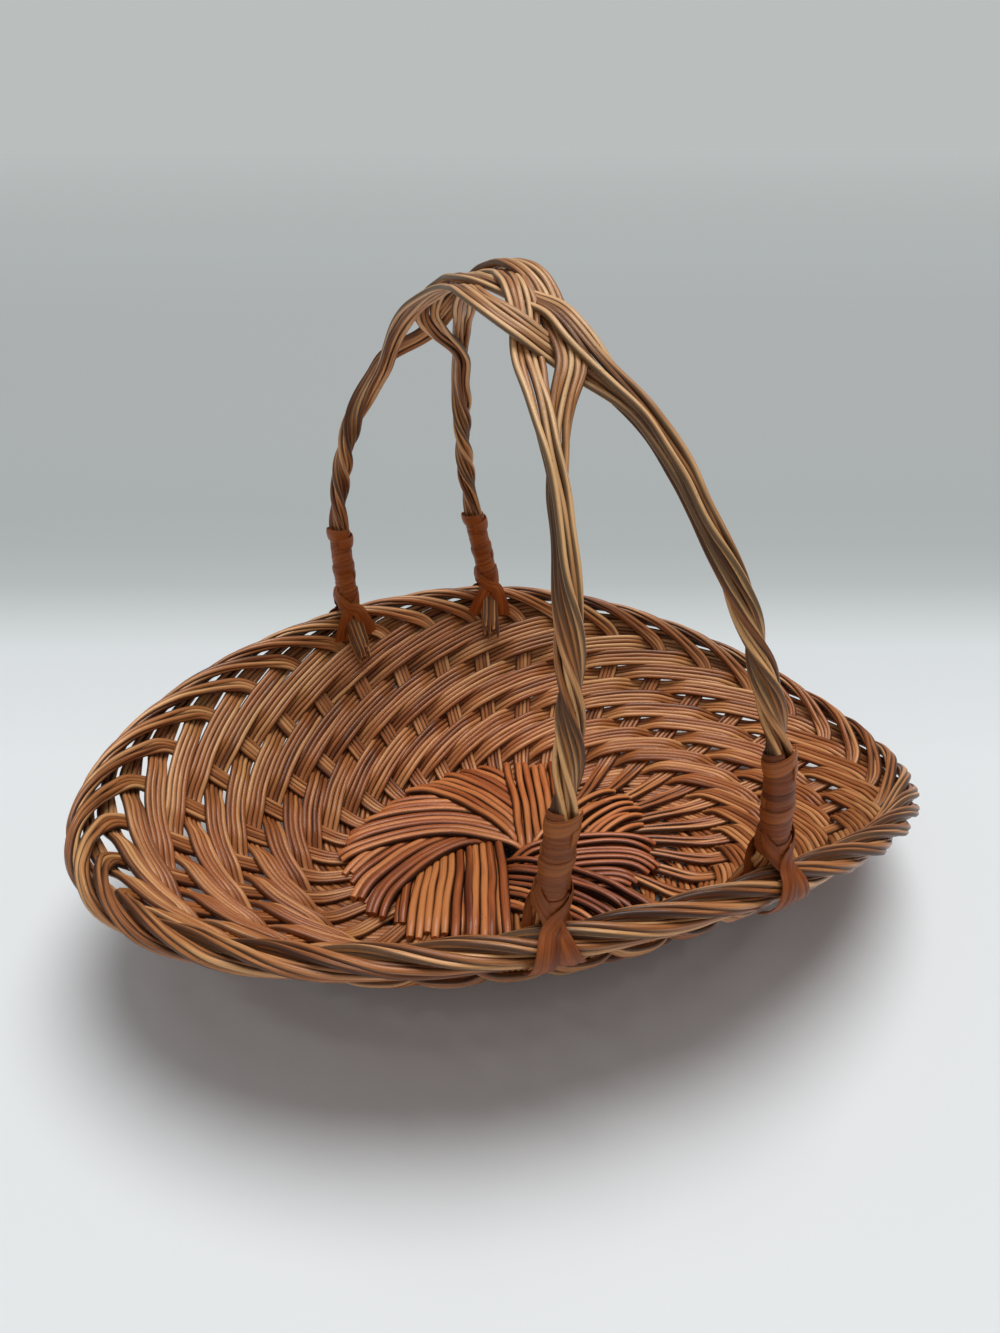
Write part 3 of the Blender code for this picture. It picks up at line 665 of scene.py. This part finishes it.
# %% Leading edges of the base arms
arm_rows = (
    (9, 0.74, ((-10, -7), (6, -5), (25, -8), (45, -14), (60, -23), (70, -35), (82, -52))),
    (8, 0.68, ((0, -6), (10, 2), (23, 10), (36, 18), (52, 24), (70, 27), (92, 28))),
    (7, 0.95, ((-3, -8), (1, 4), (4, 15), (9, 31), (14, 51), (19, 68), (23, 84))),
    (10, 0.98, ((0, -4), (-4, 8), (-9, 24), (-20, 46), (-32, 60), (-48, 68), (-66, 72))),
    (11, 0.93, ((2, -9), (-4, -3), (-16, 7), (-30, 16), (-46, 20), (-68, 21), (-94, 17))),
    (11, 0.88, ((2, 2), (-12, 6), (-27, 6), (-44, 0), (-59, -9), (-70, -18), (-82, -38))),
    (12, 0.86, ((-3, 20), (-9, 0), (-14, -18), (-20, -35), (-26, -54), (-32, -70), (-38, -85))),
    (9, 0.95, ((-14, -4), (-5, -12), (4, -18), (15, -29), (27, -43), (38, -61), (46, -80))),
)
base_cane = 0.0039
base_cane_pitch = 0.0037
arm_rise = 0.0034
shortest_arm_cane = 13
arm_gap = 0.0006
under_drop = 0.0026
arm_dive = 0.0050
arm_dip = 0.0020
arm_stray = 0.00016


def arm_edge(arm):
    return along_rows(np.array(arm_rows[arm][2]) / 100.0 * foot_half_length, 80)


print("edge points:", len(arm_edge(0)))

# %% Canes of an arm
def beside_line(points, line):
    """Distance of points from a line of points, positive on its left side."""
    start, step = line[:-1], np.diff(line, axis=0)
    part = np.clip(((points[:, None] - start) * step).sum(-1) / (step * step).sum(-1), 0.0, 1.0)
    gap = points[:, None] - (start + step * part[..., None])
    far = np.hypot(gap[..., 0], gap[..., 1])
    near = far.argmin(axis=1)
    row = np.arange(len(points))
    turn = step[near, 0] * gap[row, near, 1] - step[near, 1] * gap[row, near, 0]
    return far[row, near] * np.sign(turn)


def arm_paths(arm, chance):
    """Paths of the canes of one arm, all alongside its leading edge."""
    edge, behind = arm_edge(arm), arm_edge(arm - 1)
    travel = unit(np.gradient(edge, axis=0))
    beside = np.stack([travel[:, 1], -travel[:, 0]], -1)
    part = np.linspace(0.0, 1.0, len(edge))
    open_arm = arm in (0, 1, 7)
    loose, girth = (2.0, 0.86) if open_arm else (1.0, 1.09)
    paths = []
    count, reach, _ = arm_rows[arm]
    hidden = 2 if open_arm else count
    for cane, under in [(cane, 0.0) for cane in range(count)] + [(cane + 0.5, 1.0) for cane in range(hidden)]:
        stray = chance.normal(0.0, 0.0003 * loose) + chance.normal(0.0, 0.0009 * loose) * part
        offset = (cane + 0.5) * base_cane_pitch * (1.0 + 0.28 * part) + stray
        points = edge + beside * offset[:, None]
        out = np.hypot(points[:, 0] / foot_half_length, points[:, 1] / foot_half_width)
        clear = beside_line(points, behind)
        limit = reach + chance.normal(0.0, 0.018 * loose) - 0.06 * under
        seen = (clear > -0.0050 - 0.0100 * under) & (out < limit)
        chosen = np.flatnonzero(seen)
        if len(chosen) < shortest_arm_cane:
            continue
        chosen = np.arange(chosen[0], chosen[-1] + 1)
        high = clear[chosen] / np.maximum(clear[chosen] + offset[chosen], 0.002)
        high = np.clip(high, -0.3, 1.0) * (1.0 - 0.45 * smooth((out[chosen] - 0.55) / 0.3))
        dive = arm_dive * (1.0 - smooth(part[chosen] / 0.15))
        dip = arm_dip * smooth((out[chosen] - limit + 0.10) / 0.10)
        height = base_height + layer_step + arm_gap + arm_rise * high - dive - dip - under_drop * under
        paths.append((np.column_stack([points[chosen], height]), girth * (1.0 + 0.15 * part[chosen[0]])))
    return paths

# %% Lay the base arms
chance = np.random.default_rng(8)
for arm in range(arm_count):
    rows = []
    arm_tone = chance.uniform()
    for path, girth in arm_paths(arm, chance):
        even = even_band(path[None], 0.0030, 2)
        even = wander(even, arm_stray, chance)[0]
        travel = unit(np.gradient(even, axis=0))
        across = unit(np.cross(travel, (0.0, 0.0, 1.0)))
        grown = np.linspace(girth, girth * 1.12, len(even))
        thick = cane_ends(len(even), 0.95, 0.72) * chance.uniform(0.92, 1.06) * grown
        rows.append((even, thick, arm_tone + chance.uniform(0.0, 0.045), across))
    name = "base_arm_%d" % (arm + 1)
    lay_canes("canes_of_" + name, rows, name, base_skin, thickness=base_cane, seed=arm * 2.3)
    print(name, "canes:", len(rows))

# %% [markdown]
# ## Foot
# The ends of the bands are plaited to a low rope that the basket stands on. Six canes wind round
# the oval as a twist, flattened where it carries the weight. Sixty short canes fan out under the
# base as its reverse layer.

# %% Rope of the foot
foot_strands = 6
foot_twists = 15.0
foot_cane = 0.0031
under_canes = 60
under_reach, under_run, under_sweep = 0.86, 0.50, 0.85


def foot_paths():
    turn = np.linspace(0.0, 2.0 * math.pi, 221)
    angle = oval_angle(turn)
    rows = []
    chance = np.random.default_rng(5)
    for strand in range(foot_strands):
        twist = 2.0 * math.pi * strand / foot_strands + turn * foot_twists
        out = -foot_ring_width / 2.0 + 0.0040 * np.cos(twist)
        height = foot_ring_height / 2.0 + 0.0023 * np.sin(twist)
        path = np.column_stack([(foot_half_length + out) * np.cos(angle),
                                (foot_half_width + out) * np.sin(angle), height])
        rows.append((path, 1.0, chance.uniform(), unit(np.cross(np.gradient(path, axis=0), path - path.mean(0)))))
    for tail in range(under_canes):
        start = 2.0 * math.pi * tail / under_canes + chance.normal(0.0, 0.02)
        share = np.linspace(0.0, 1.0, 14)
        out = under_reach - under_run * share
        turn = start + under_sweep * share ** 1.3
        path = np.column_stack([foot_half_length * out * np.cos(turn), foot_half_width * out * np.sin(turn),
                                base_height - 0.0030 - 0.0010 * share])
        side = unit(np.cross(np.gradient(path, axis=0), (0.0, 0.0, 1.0)))
        rows.append((path, cane_ends(len(path)) * 0.95, chance.uniform(), side))
    return rows


rope = lay_canes("rope_of_foot", foot_paths(), "foot_ring", wall_skin, thickness=foot_cane, seed=4.0)
print("rope of the foot:", len(rope.data.polygons), "faces")

# %% [markdown]
# ## Handle
# Four bands start in pairs at the four feet, twist round each other up the legs and cross each
# other at the crown. The legs follow an arch, and rows of numbers say where each band runs over
# the crown: how far along it, how far aside and on which layer, in hundredths of the crown's half
# length, of its half width and of one layer. The band is a round bundle in the legs and opens to a flat ribbon of
# canes side by side on the crown.

# %% Rows of the legs and the crown
leg_rows = {
    "far_left": (1.0, (-1.10, -1.10, -1.04, -0.90, -0.66)),
    "far_right": (1.0, (0.76, 0.58, 0.42, 0.30, 0.19)),
    "near_left": (-1.0, (-0.99, -0.90, -0.76, -0.64, -0.525)),
    "near_right": (-1.0, (0.99, 0.94, 0.85, 0.70, 0.50)),
}
crown_right = (
    (100, 45, -70), (94, 20, -72), (88, -25, -66), (82, -55, -62), (77, -78, -15), (71, -80, 50),
    (63, -75, 60), (55, -62, 50), (45, -65, 10), (32, -74, -45), (16, -85, -80), (2, -90, -75),
    (-10, -82, -60), (-18, -65, -45), (-25, -42, -32), (-31, -27, 18), (-38, -15, 80), (-48, -5, 110),
    (-56, 12, 95), (-64, 40, 70), (-74, 75, 70), (-90, 116, 70),
)
crown_under = (
    (100, 45, 70), (92, 32, 62), (84, 20, 10), (76, 8, -35), (66, -5, -50), (55, -12, -50),
    (40, -17, -48), (25, -22, -48), (10, -28, -48), (0, -34, -35), (-8, -45, -5), (-14, -54, 35),
    (-20, -60, 66), (-26, -65, 60), (-32, -67, 0), (-38, -74, -62), (-44, -85, -98), (-52, -96, -70),
    (-60, -104, -20), (-70, -112, 30), (-80, -119, 64), (-90, -122, 70),
)
crown_left = (
    (100, -153, 70), (96, -115, 70), (92, -72, 68), (88, -48, 66), (83, -37, 60), (77, -30, 50),
    (70, -20, 50), (62, -9, 52), (50, 0, 55), (35, 0, 55), (20, -6, 55), (8, -12, 58),
    (-2, -15, 58), (-10, -11, 50), (-17, -5, 15), (-24, -2, -55), (-31, -8, -98), (-38, -15, -62),
    (-44, -19, -15), (-49, -22, 15), (-54, -26, 35), (-59, -36, 45), (-65, -60, 10), (-72, -83, -42),
    (-81, -102, -70), (-90, -122, -70),
)
crown_over = (
    (100, -153, -70), (90, -145, -68), (79, -135, -60), (66, -122, -75), (54, -110, -100), (40, -103, -140),
    (25, -105, -180), (12, -112, -185), (0, -125, -155), (-10, -136, -95), (-19, -141, -30), (-26, -138, 15),
    (-33, -126, 40), (-39, -108, 48), (-44, -85, 40), (-48, -56, -42), (-51, -30, -98), (-55, -8, -100),
    (-60, 14, -78), (-66, 42, -70), (-74, 75, -70), (-90, 116, -70),
)
print("crown rows:", [len(rows) for rows in (crown_right, crown_under, crown_left, crown_over)])

# %% The arch and its legs
ribbon_half_width = 0.0056
handle_cane = 0.00255
handle_stray = 0.00025
leg_stand = 1.12 * roll_half_width + bundle_thickness / 2.0 + 0.0003 + handle_band_width / 2.0
tail_stand = layer_step + cane_thickness / 2.0 + 0.0003 + handle_band_width / 2.0
leg_reach = rim_half_width * math.sqrt(1.0 - (leg_half_spacing / rim_half_length) ** 2) - leg_inset
leg_base = rim_height_middle + leg_stand / 2.0
half_pair = (handle_band_thickness + 0.0004) / 2.0


def arch_power(side):
    return near_power if side < 0.0 else far_power


def arch_place(side, rise):
    angle = rise * math.pi / 2.0
    return math.cos(angle) ** (2.0 / arch_power(side)), math.sin(angle) ** (2.0 / arch_power(side))


def arch_rise(side, reach):
    return math.acos(reach ** (arch_power(side) / 2.0)) * 2.0 / math.pi


def arch_point(x, y):
    points = []
    for place in (y, y + layer_step):
        side = -1.0 if place < 0.0 else 1.0
        lift = arch_place(side, arch_rise(side, abs(place) / leg_reach))[1]
        points.append(np.array([x, place, leg_base + (handle_height - leg_base) * lift]))
    travel = unit(points[1] - points[0])
    return points[0], np.array([0.0, -travel[2], travel[1]])


def leg_turn(leg):
    side, shares = leg_rows[leg]
    share = shares[0] * leg_half_spacing / rim_half_length
    wanted = math.atan2(side * math.sqrt(1.0 - share * share), share)
    turn = wanted
    for _ in range(20):
        turn += wanted - oval_angle(turn)
    return float(turn)


def rim_place(turn, across, down):
    """A point near the rim, across the wall and down from the rim's top, with directions."""
    along, up, inward = wall_directions(turn, 0.97)
    return wall_middle(turn, 1.0) + inward * across - up * down, along, up, inward


def leg_axis(leg, part):
    side, shares = leg_rows[leg]
    foot = rim_place(leg_turn(leg), leg_stand, 0.0)[0]
    crown = crown_half_length * (1.0 if side > 0.0 else near_crown)
    reach, lift = arch_place(side, part * arch_rise(side, crown / leg_reach))
    lean = 1.0 - float(smooth(part / leg_lean))
    drawn_in = (leg_reach - abs(foot[1])) * lean
    row = np.array(shares)[:, None]
    x = between_rows(row, np.array([part * (len(shares) - 1.0)]))[0, 0] * leg_half_spacing
    x += (foot[0] - shares[0] * leg_half_spacing) * lean
    z = leg_base + (handle_height - leg_base) * lift + (foot[2] - leg_base) * lean
    return np.array([x, side * (leg_reach * reach - drawn_in), z])


def leg_frame(leg, part):
    little = 0.01
    along = unit(leg_axis(leg, min(part + little, 1.0)) - leg_axis(leg, max(part - little, 0.0)))
    outward = np.array([0.0, leg_rows[leg][0], 1.0])
    above = unit(outward - along * float(outward @ along))
    return along, np.cross(along, above), above


print("leg angles:", {leg: round(math.degrees(leg_turn(leg))) for leg in leg_rows})

# %% [markdown]
# ### From stations to canes
# A band is described by stations: a point, the direction across the band, the direction out of it
# and how far it has opened. The legs and the crown each give their stations, and the canes of the
# band are then set side by side at every station.

# %% Stations of a handle band
def leg_stations(leg, sign, steps=46):
    """Point, width direction, depth direction and openness of one band of a pair."""
    turn = leg_turn(leg)
    drop = leg_tail_length / float(wall_length(turn))
    beside, up, inward = wall_directions(turn, 0.95)
    stations = []
    for part, stand in ((1.25, tail_stand), (1.0, tail_stand), (0.62, tail_stand), (0.34, leg_stand)):
        point = wall_middle(turn, 1.0 - drop * part) + inward * stand
        stations.append((point, beside, inward))
    for step in range(steps):
        part = step / steps
        along, across, above = leg_frame(leg, part)
        twist = 2.0 * math.pi * leg_twist_turns * (1.0 - float(smooth((part - 0.12) / 0.8)))
        facing = above * math.cos(twist) + across * math.sin(twist)
        stations.append((leg_axis(leg, part), facing, np.cross(along, facing)))
    return [(point + facing * sign * half_pair, other, facing, 0.0) for point, facing, other in stations]


def crown_stations(rows, steps=110):
    points = []
    for across, side, level in along_rows(np.array(rows) / 100.0, steps + 1):
        point, above = arch_point(side * crown_half_width, across * crown_half_length)
        points.append((point + above * level * crown_layer, above))
    result = []
    for index, (point, above) in enumerate(points):
        ahead = points[min(index + 1, steps)][0] - points[max(index - 1, 0)][0]
        across = unit(np.cross(ahead, above))
        above = unit(np.cross(across, ahead))
        opened = float(smooth(5.0 * min(index, steps - index) / steps))
        result.append((point, across, above, opened))
    return result


def handle_canes(far, near, rows, count=5):
    """Paths of the canes of one handle band, and the direction across them."""
    first = leg_stations(far, math.copysign(1.0, rows[0][2]))
    last = leg_stations(near, math.copysign(1.0, rows[-1][2]))
    stations = first + crown_stations(rows) + last[::-1]
    points, wide, deep, opened = [np.array(column) for column in zip(*stations)]
    travel = np.gradient(points, axis=0)
    for index in range(len(stations)):
        if np.cross(wide[index], deep[index]) @ travel[index] < 0.0:
            wide[index] *= -1.0
        if index and wide[index] @ wide[index - 1] + deep[index] @ deep[index - 1] < 0.0:
            wide[index] *= -1.0
            deep[index] *= -1.0
    opened = opened[:, None]
    flat = (np.arange(count) + 0.5) / count * 2.0 - 1.0
    bundle_across = (-0.70, -0.66, 0.0, 0.66, 0.70)
    bundle_deep = (0.5, -0.5, 0.0, 0.5, -0.5)
    width = handle_band_width / 2.0 * (1.0 - opened) + ribbon_half_width * opened
    thick = handle_band_thickness / 2.0 * (1.0 - opened)
    canes = []
    for cane in range(count):
        side = bundle_across[cane] * (1.0 - opened) + flat[cane] * opened
        canes.append(points + wide * width * side + deep * thick * bundle_deep[cane])
    return np.stack(canes)

print("points of a handle cane:", handle_canes("far_left", "near_left", crown_left).shape[1])

# %% Lay the handle bands
handle_plan = (
    ("handle_band_over", "far_left", "near_right", crown_over),
    ("handle_band_under", "far_right", "near_left", crown_under),
    ("handle_band_left", "far_left", "near_left", crown_left),
    ("handle_band_right", "far_right", "near_right", crown_right),
)
chance = np.random.default_rng(12)
for node, far, near, rows in handle_plan:
    canes = even_band(handle_canes(far, near, rows), 0.0025, 3)
    canes = wander(canes, handle_stray, chance, wave=0.07)
    across = unit(canes[-1] - canes[0])
    paths = []
    for cane in canes:
        cut = slice(chance.integers(0, 4), canes.shape[1] - chance.integers(0, 4))
        thick = cane_ends(len(cane[cut])) * chance.uniform(0.92, 1.08)
        paths.append((cane[cut], thick, chance.uniform(), across[cut]))
    lay_canes("canes_of_" + node, paths, node, handle_skin, thickness=handle_cane, sides=10,
              seed=len(node) * 1.0)
print("handle bands:", len(handle_plan))

# %% [markdown]
# ## Leg bindings
# Each leg foot is bound with flat peel: two strips wound up the leg half a pitch apart, and three
# collars round them. The windings of the near legs are shorter. Below, more strips splay to both
# sides, over the rim and down its inside and outside, which ties the leg to the rim. A strip is a
# thin curved ribbon, so its own small sweep builds it with a slightly crowned section.

# %% Ribbons of peel
strip_section = ((-1.0, -0.5), (-0.5, -0.55), (0.5, -0.55), (1.0, -0.5), (1.0, 0.0), (0.55, 0.5),
                 (0.0, 0.66), (-0.55, 0.5), (-1.0, 0.0))
steps_a_turn = 26
winding_radius = 0.0052
winding_upright, winding_lean = 0.995, 0.09
winding_turns = {"near_left": 6.6, "near_right": 7.6, "far_left": binding_turns, "far_right": binding_turns}
collar_thickness = 0.0007
strap_start, strap_drop = 0.0150, 0.0125
strap_radius, strap_tuck = 0.0059, 0.0022
strap_first_side, strap_turn = 115.0, 108.0
near_strap_share = 0.62
strap_strip_width, strap_strip_gap = 0.0034, 0.0025


def ribbon(points, wide, deep, width, thickness, lists, tone):
    """Add one strip of peel to lists of vertices, faces and carried numbers."""
    vertices, faces, numbers = lists
    start, count = len(vertices), len(strip_section)
    for point, across, outward, walked in zip(points, wide, deep, distances(points)):
        for side, out in strip_section:
            vertices.append(tuple(point + across * side * width / 2.0 + outward * out * thickness))
            # The last number marks the strip's edges, where the skin paints shade into the seams between strips
            numbers.append((tone, walked + tone * tone_shift, side * 0.25 + 0.5, float(abs(side) == 1.0)))
    for low in range(start, len(vertices) - count, count):
        for corner in range(count):
            other = (corner + 1) % count
            faces.append((low + corner, low + other, low + count + other, low + count + corner))
    faces.append(tuple(reversed(range(start, start + count))))
    faces.append(tuple(range(len(vertices) - count, len(vertices))))

print("corners of a strip:", len(strip_section))

# %% Windings of a leg
def leg_distances(leg, reach, count):
    """How far up a leg its points lie, and the parts of the leg at which they lie."""
    parts = np.linspace(0.0, reach, count)
    return distances(np.array([leg_axis(leg, part) for part in parts])), parts


def winding_path(leg, start_turn, end_turn, lift, swell=0.0, tilt=0.0):
    """Points of a strip wound round a leg, with its width and outward directions."""
    climb = leg_distances(leg, 0.6, 40)
    count = int((end_turn - start_turn) * steps_a_turn)
    rows = []
    for step in range(count + 1):
        turns = start_turn + (end_turn - start_turn) * step / count
        angle = 2.0 * math.pi * (turns + 0.25)
        part = float(np.interp(lift + peel_pitch * turns + tilt * math.sin(angle), *climb))
        along, across, above = leg_frame(leg, part)
        out = above * math.cos(angle) + across * math.sin(angle)
        rows.append((leg_axis(leg, part) + out * (winding_radius + swell),
                     unit(along * winding_upright + out * winding_lean),
                     unit(out * winding_upright - along * winding_lean)))
    return np.array(rows).swapaxes(0, 1)


print("leg length: %.0f mm" % (1000.0 * leg_distances("far_left", 1.0, 40)[0][-1]))

# %% [markdown]
# ### Straps over the rim
# The rows of a strap are in millimetres: aside of the leg, across the wall and down from the rim.
# A strap starts tucked under the winding, leaves it sideways and bends over the rim.

# %% Paths of the straps
inner_strap = (
    (2.2, 15.6, 0.6), (4.0, 14.2, 3.6), (5.8, 11.6, 7.0), (7.2, 8.6, 10.2), (8.2, 5.6, 13.2), (8.8, 3.0, 16.0),
)
outer_strap = (
    (1.2, 1.4, -3.9), (2.4, -2.8, -3.6), (3.8, -6.6, -0.6), (5.0, -7.8, 3.0), (5.9, -7.4, 6.4), (6.6, -6.0, 9.6),
)


def strap_path(leg, lean, rows, face):
    """A strap that leaves the winding sideways and crosses the rim; lean is the side it ends on."""
    turn = leg_turn(leg)
    apart = wall_middle(turn + 0.01, 1.0) - wall_middle(turn - 0.01, 1.0)
    per_turn = float(lengths_of(apart)[0]) / 0.02
    beside, _, inward = wall_directions(turn, 0.97)
    climb = leg_distances(leg, 0.3, 30)
    points, normals = [], []
    for share in np.linspace(0.0, 1.0, 14):
        part = float(np.interp(strap_start - strap_drop * share, *climb))
        along = leg_frame(leg, part)[0]
        front = unit(face * (inward - along * float(inward @ along)))
        side = unit(beside - along * float(beside @ along) - front * float(beside @ front))
        angle = math.radians(strap_first_side - strap_turn * share)
        out = front * math.cos(angle) - side * lean * math.sin(angle)
        tucked = strap_tuck * max(0.0, 1.0 - 3.0 * share)
        points.append(leg_axis(leg, part) + out * (strap_radius - tucked))
        normals.append(out)
    places = along_rows(rows, 24) * 0.001
    if face > 0.0 and leg_rows[leg][0] < 0.0:
        places[:, ::2] *= near_strap_share
    for (aside, across, down), (_, outward, lower) in zip(places, np.gradient(places, axis=0)):
        point, along, up, inside = rim_place(turn + lean * aside / per_turn, across, down)
        points.append(point)
        normals.append(unit(inside * lower + up * outward) * face)
    points, normals = rounded(np.array([points, normals]), 3)
    travel = unit(np.gradient(points, axis=0))
    wide = unit(np.cross(travel, normals))
    return points, wide, unit(np.cross(wide, travel))


print("points of a strap:", len(strap_path("far_left", 1.0, inner_strap, 1.0)[0]))

# %% Bind the four legs
def peel_piece(leg, chance):
    lists = [], [], []
    turns_up = winding_turns[leg]
    darkest, top_swell = (0.0, 0.0014) if leg.startswith("far") else (0.55, 0.0006)

    def peel_tone():
        """A tone that the skin turns into this share of its deep colour, alike for one leg."""
        return (darkest + 0.40 * chance.uniform()) / tone_turns

    for shift, swell in ((0.0, 0.0), (peel_pitch / 2.0, 0.0001)):
        winding = winding_path(leg, -0.2, turns_up + 0.1, binding_lift + shift, swell)
        ribbon(*winding, peel_width, peel_thickness, lists, peel_tone())
    # Collars: first turn, how many turns, swell, width, tilt and tone
    for start, turns, swell, width, tilt, tone in (
            (turns_up - 0.8, 1.12, top_swell, 0.0064, 0.0011, 0.0), (0.2, 1.3, 0.0008, 0.0054, 0.0, 0.03),
            (3.4, 1.1, 0.0005, 0.0058, 0.0005, 0.02)):
        collar = winding_path(leg, start, start + turns, binding_lift, swell, tilt)
        ribbon(*collar, width, collar_thickness, lists, tone)
    for face, rows in ((1.0, inner_strap), (-1.0, outer_strap)):
        for lean, layer in ((1.0, 0.0002), (-1.0, 0.0012)):
            points, wide, deep = strap_path(leg, lean, rows, face)
            part = np.linspace(0.0, 1.0, len(points))[:, None]
            for strip in (-1.0, 0.0, 1.0):
                apart = wide * strip * strap_strip_gap * (0.40 + 0.85 * part)
                strap = points + apart + deep * (layer + 0.0003 * (strip == 0.0))
                last = len(points) - chance.integers(0, 4)
                ribbon(strap[:last], wide[:last], deep[:last], strap_strip_width, peel_thickness, lists,
                       peel_tone())
    vertices, faces, numbers = lists
    mesh = bpy.data.meshes.new("peel_of_binding_" + leg)
    mesh.from_pydata(vertices, [], faces)
    for label, values in zip(("tone", "along", "around", "groove_shade"), zip(*numbers)):
        carry(mesh, label, values)
    mesh.materials.append(peel_skin)
    mesh.shade_smooth()
    mesh.set_sharp_from_angle(angle=math.radians(50.0))
    piece = add_object("peel_of_binding_" + leg, mesh)
    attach(piece, "root")
    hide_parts("binding_" + leg, "tie_" + leg)
    return piece


chance = np.random.default_rng(21)
for leg in leg_rows:
    piece = peel_piece(leg, chance)
    print(piece.name, "faces:", len(piece.data.polygons))

# %% [markdown]
# ## Studio
# A plain pale floor that turns cool grey with distance, two soft suns, a sky and a camera at the
# photograph's angle. The floor's colour depends on how far away a spot is and in which direction,
# and a ramp turns that number into the tones.

# %% Floor
floor_reach = 40.0
floor_corners = 96
floor_drop = 0.0002
floor_tones = ((0.0, (195, 200, 200)), (0.053, (187, 192, 192)), (0.10, (182, 187, 187)),
               (0.15, (179, 184, 185)), (0.22, (176, 180, 181)), (0.33, (175, 179, 180)),
               (0.45, (173, 179, 179)), (0.52, (172, 178, 178)), (0.585, (175, 181, 181)),
               (0.65, (184, 190, 191)), (0.722, (207, 212, 214)), (0.77, (219, 224, 227)),
               (1.0, (229, 233, 236)))


def floor_piece():
    turns = [2.0 * math.pi * step / floor_corners for step in range(floor_corners)]
    mesh = bpy.data.meshes.new("floor")
    mesh.from_pydata([(floor_reach * math.cos(turn), floor_reach * math.sin(turn), -floor_drop) for turn in turns],
                     [], [tuple(range(floor_corners))])
    floor = add_object("floor", mesh)
    material, tree, shader = new_material("pale_floor")
    maths = maths_in(tree)
    place = put(tree, "ShaderNodeTexCoord").outputs["Object"]
    away = put(tree, "ShaderNodeVectorMath", {0: place, 1: (0.36, 0.93, 0.0)}, operation="DOT_PRODUCT")
    far = put(tree, "ShaderNodeVectorMath", {0: place}, operation="LENGTH")
    reach = maths("MAXIMUM", maths("SUBTRACT", far.outputs["Value"], 1.2), away.outputs["Value"])
    nearness = maths("DIVIDE", 0.50, maths("MAXIMUM", maths("ADD", reach, 0.40), 0.05))
    tones = ramp(tree, nearness, [(position, linear(*colour)) for position, colour in floor_tones])
    fill(tree, shader, {"Base Color": tones, "Roughness": 0.55, "Specular IOR Level": 0.25})
    mesh.materials.append(material)
    return floor


print("floor corners:", len(floor_piece().data.vertices))

# %% Lamps and sky
def lamp(name, place, softness, power, colour):
    """An even light from far away; softness is its apparent width in degrees."""
    light = bpy.data.lights.new(name, "SUN")
    light.angle = math.radians(softness)
    light.energy = power
    light.color = colour
    lamp_object = add_object(name, light)
    lamp_object.location = place
    direction = -np.array(place)
    yaw = math.atan2(direction[1], direction[0])
    pitch = math.atan2(direction[2], math.hypot(direction[0], direction[1]))
    lamp_object.rotation_euler = (math.pi / 2.0 + pitch, 0.0, yaw - math.pi / 2.0)


lamp("top", (0.28, 0.16, 1.6), 40.0, 2.42, (1.0, 0.99, 0.97))
lamp("front", (-0.8, -1.0, 1.0), 50.0, 0.34, (0.98, 0.99, 1.0))

world = bpy.data.worlds.new("sky")
bpy.context.scene.world = world
world.use_nodes = True
tree = world.node_tree
sky = fill(tree, tree.nodes["Background"], {"Color": (0.93, 0.97, 1.0, 1.0), "Strength": 0.19})
seen = put(tree, "ShaderNodeBackground", {"Color": (*linear(186, 191, 190), 1.0)})
camera_ray = put(tree, "ShaderNodeLightPath").outputs["Is Camera Ray"]
choose = put(tree, "ShaderNodeMixShader", {0: camera_ray, 1: sky.outputs[0], 2: seen.outputs[0]})
fill(tree, tree.nodes["World Output"], {"Surface": choose.outputs[0]})
print("lights:", len(bpy.data.lights))

# %% Camera
focal_pixels, picture_pixels, sensor_width = 997.0, 1000.0, 36.0
looking_down, turned, rolled = 27.90, 21.13, 0.18

view = bpy.data.cameras.new("view")
view.sensor_fit = "HORIZONTAL"
view.sensor_width = sensor_width
view.lens = sensor_width * focal_pixels / picture_pixels
camera = add_object("view", view)
camera.location = (-0.1530, -0.3709, 0.3293)
camera.rotation_mode = "XYZ"
camera.rotation_euler = (math.radians(90.0 - looking_down), math.radians(rolled), math.radians(-turned))
bpy.context.scene.camera = camera
bpy.context.scene.view_settings.view_transform = "Standard"
print("lens: %.1f mm" % view.lens)
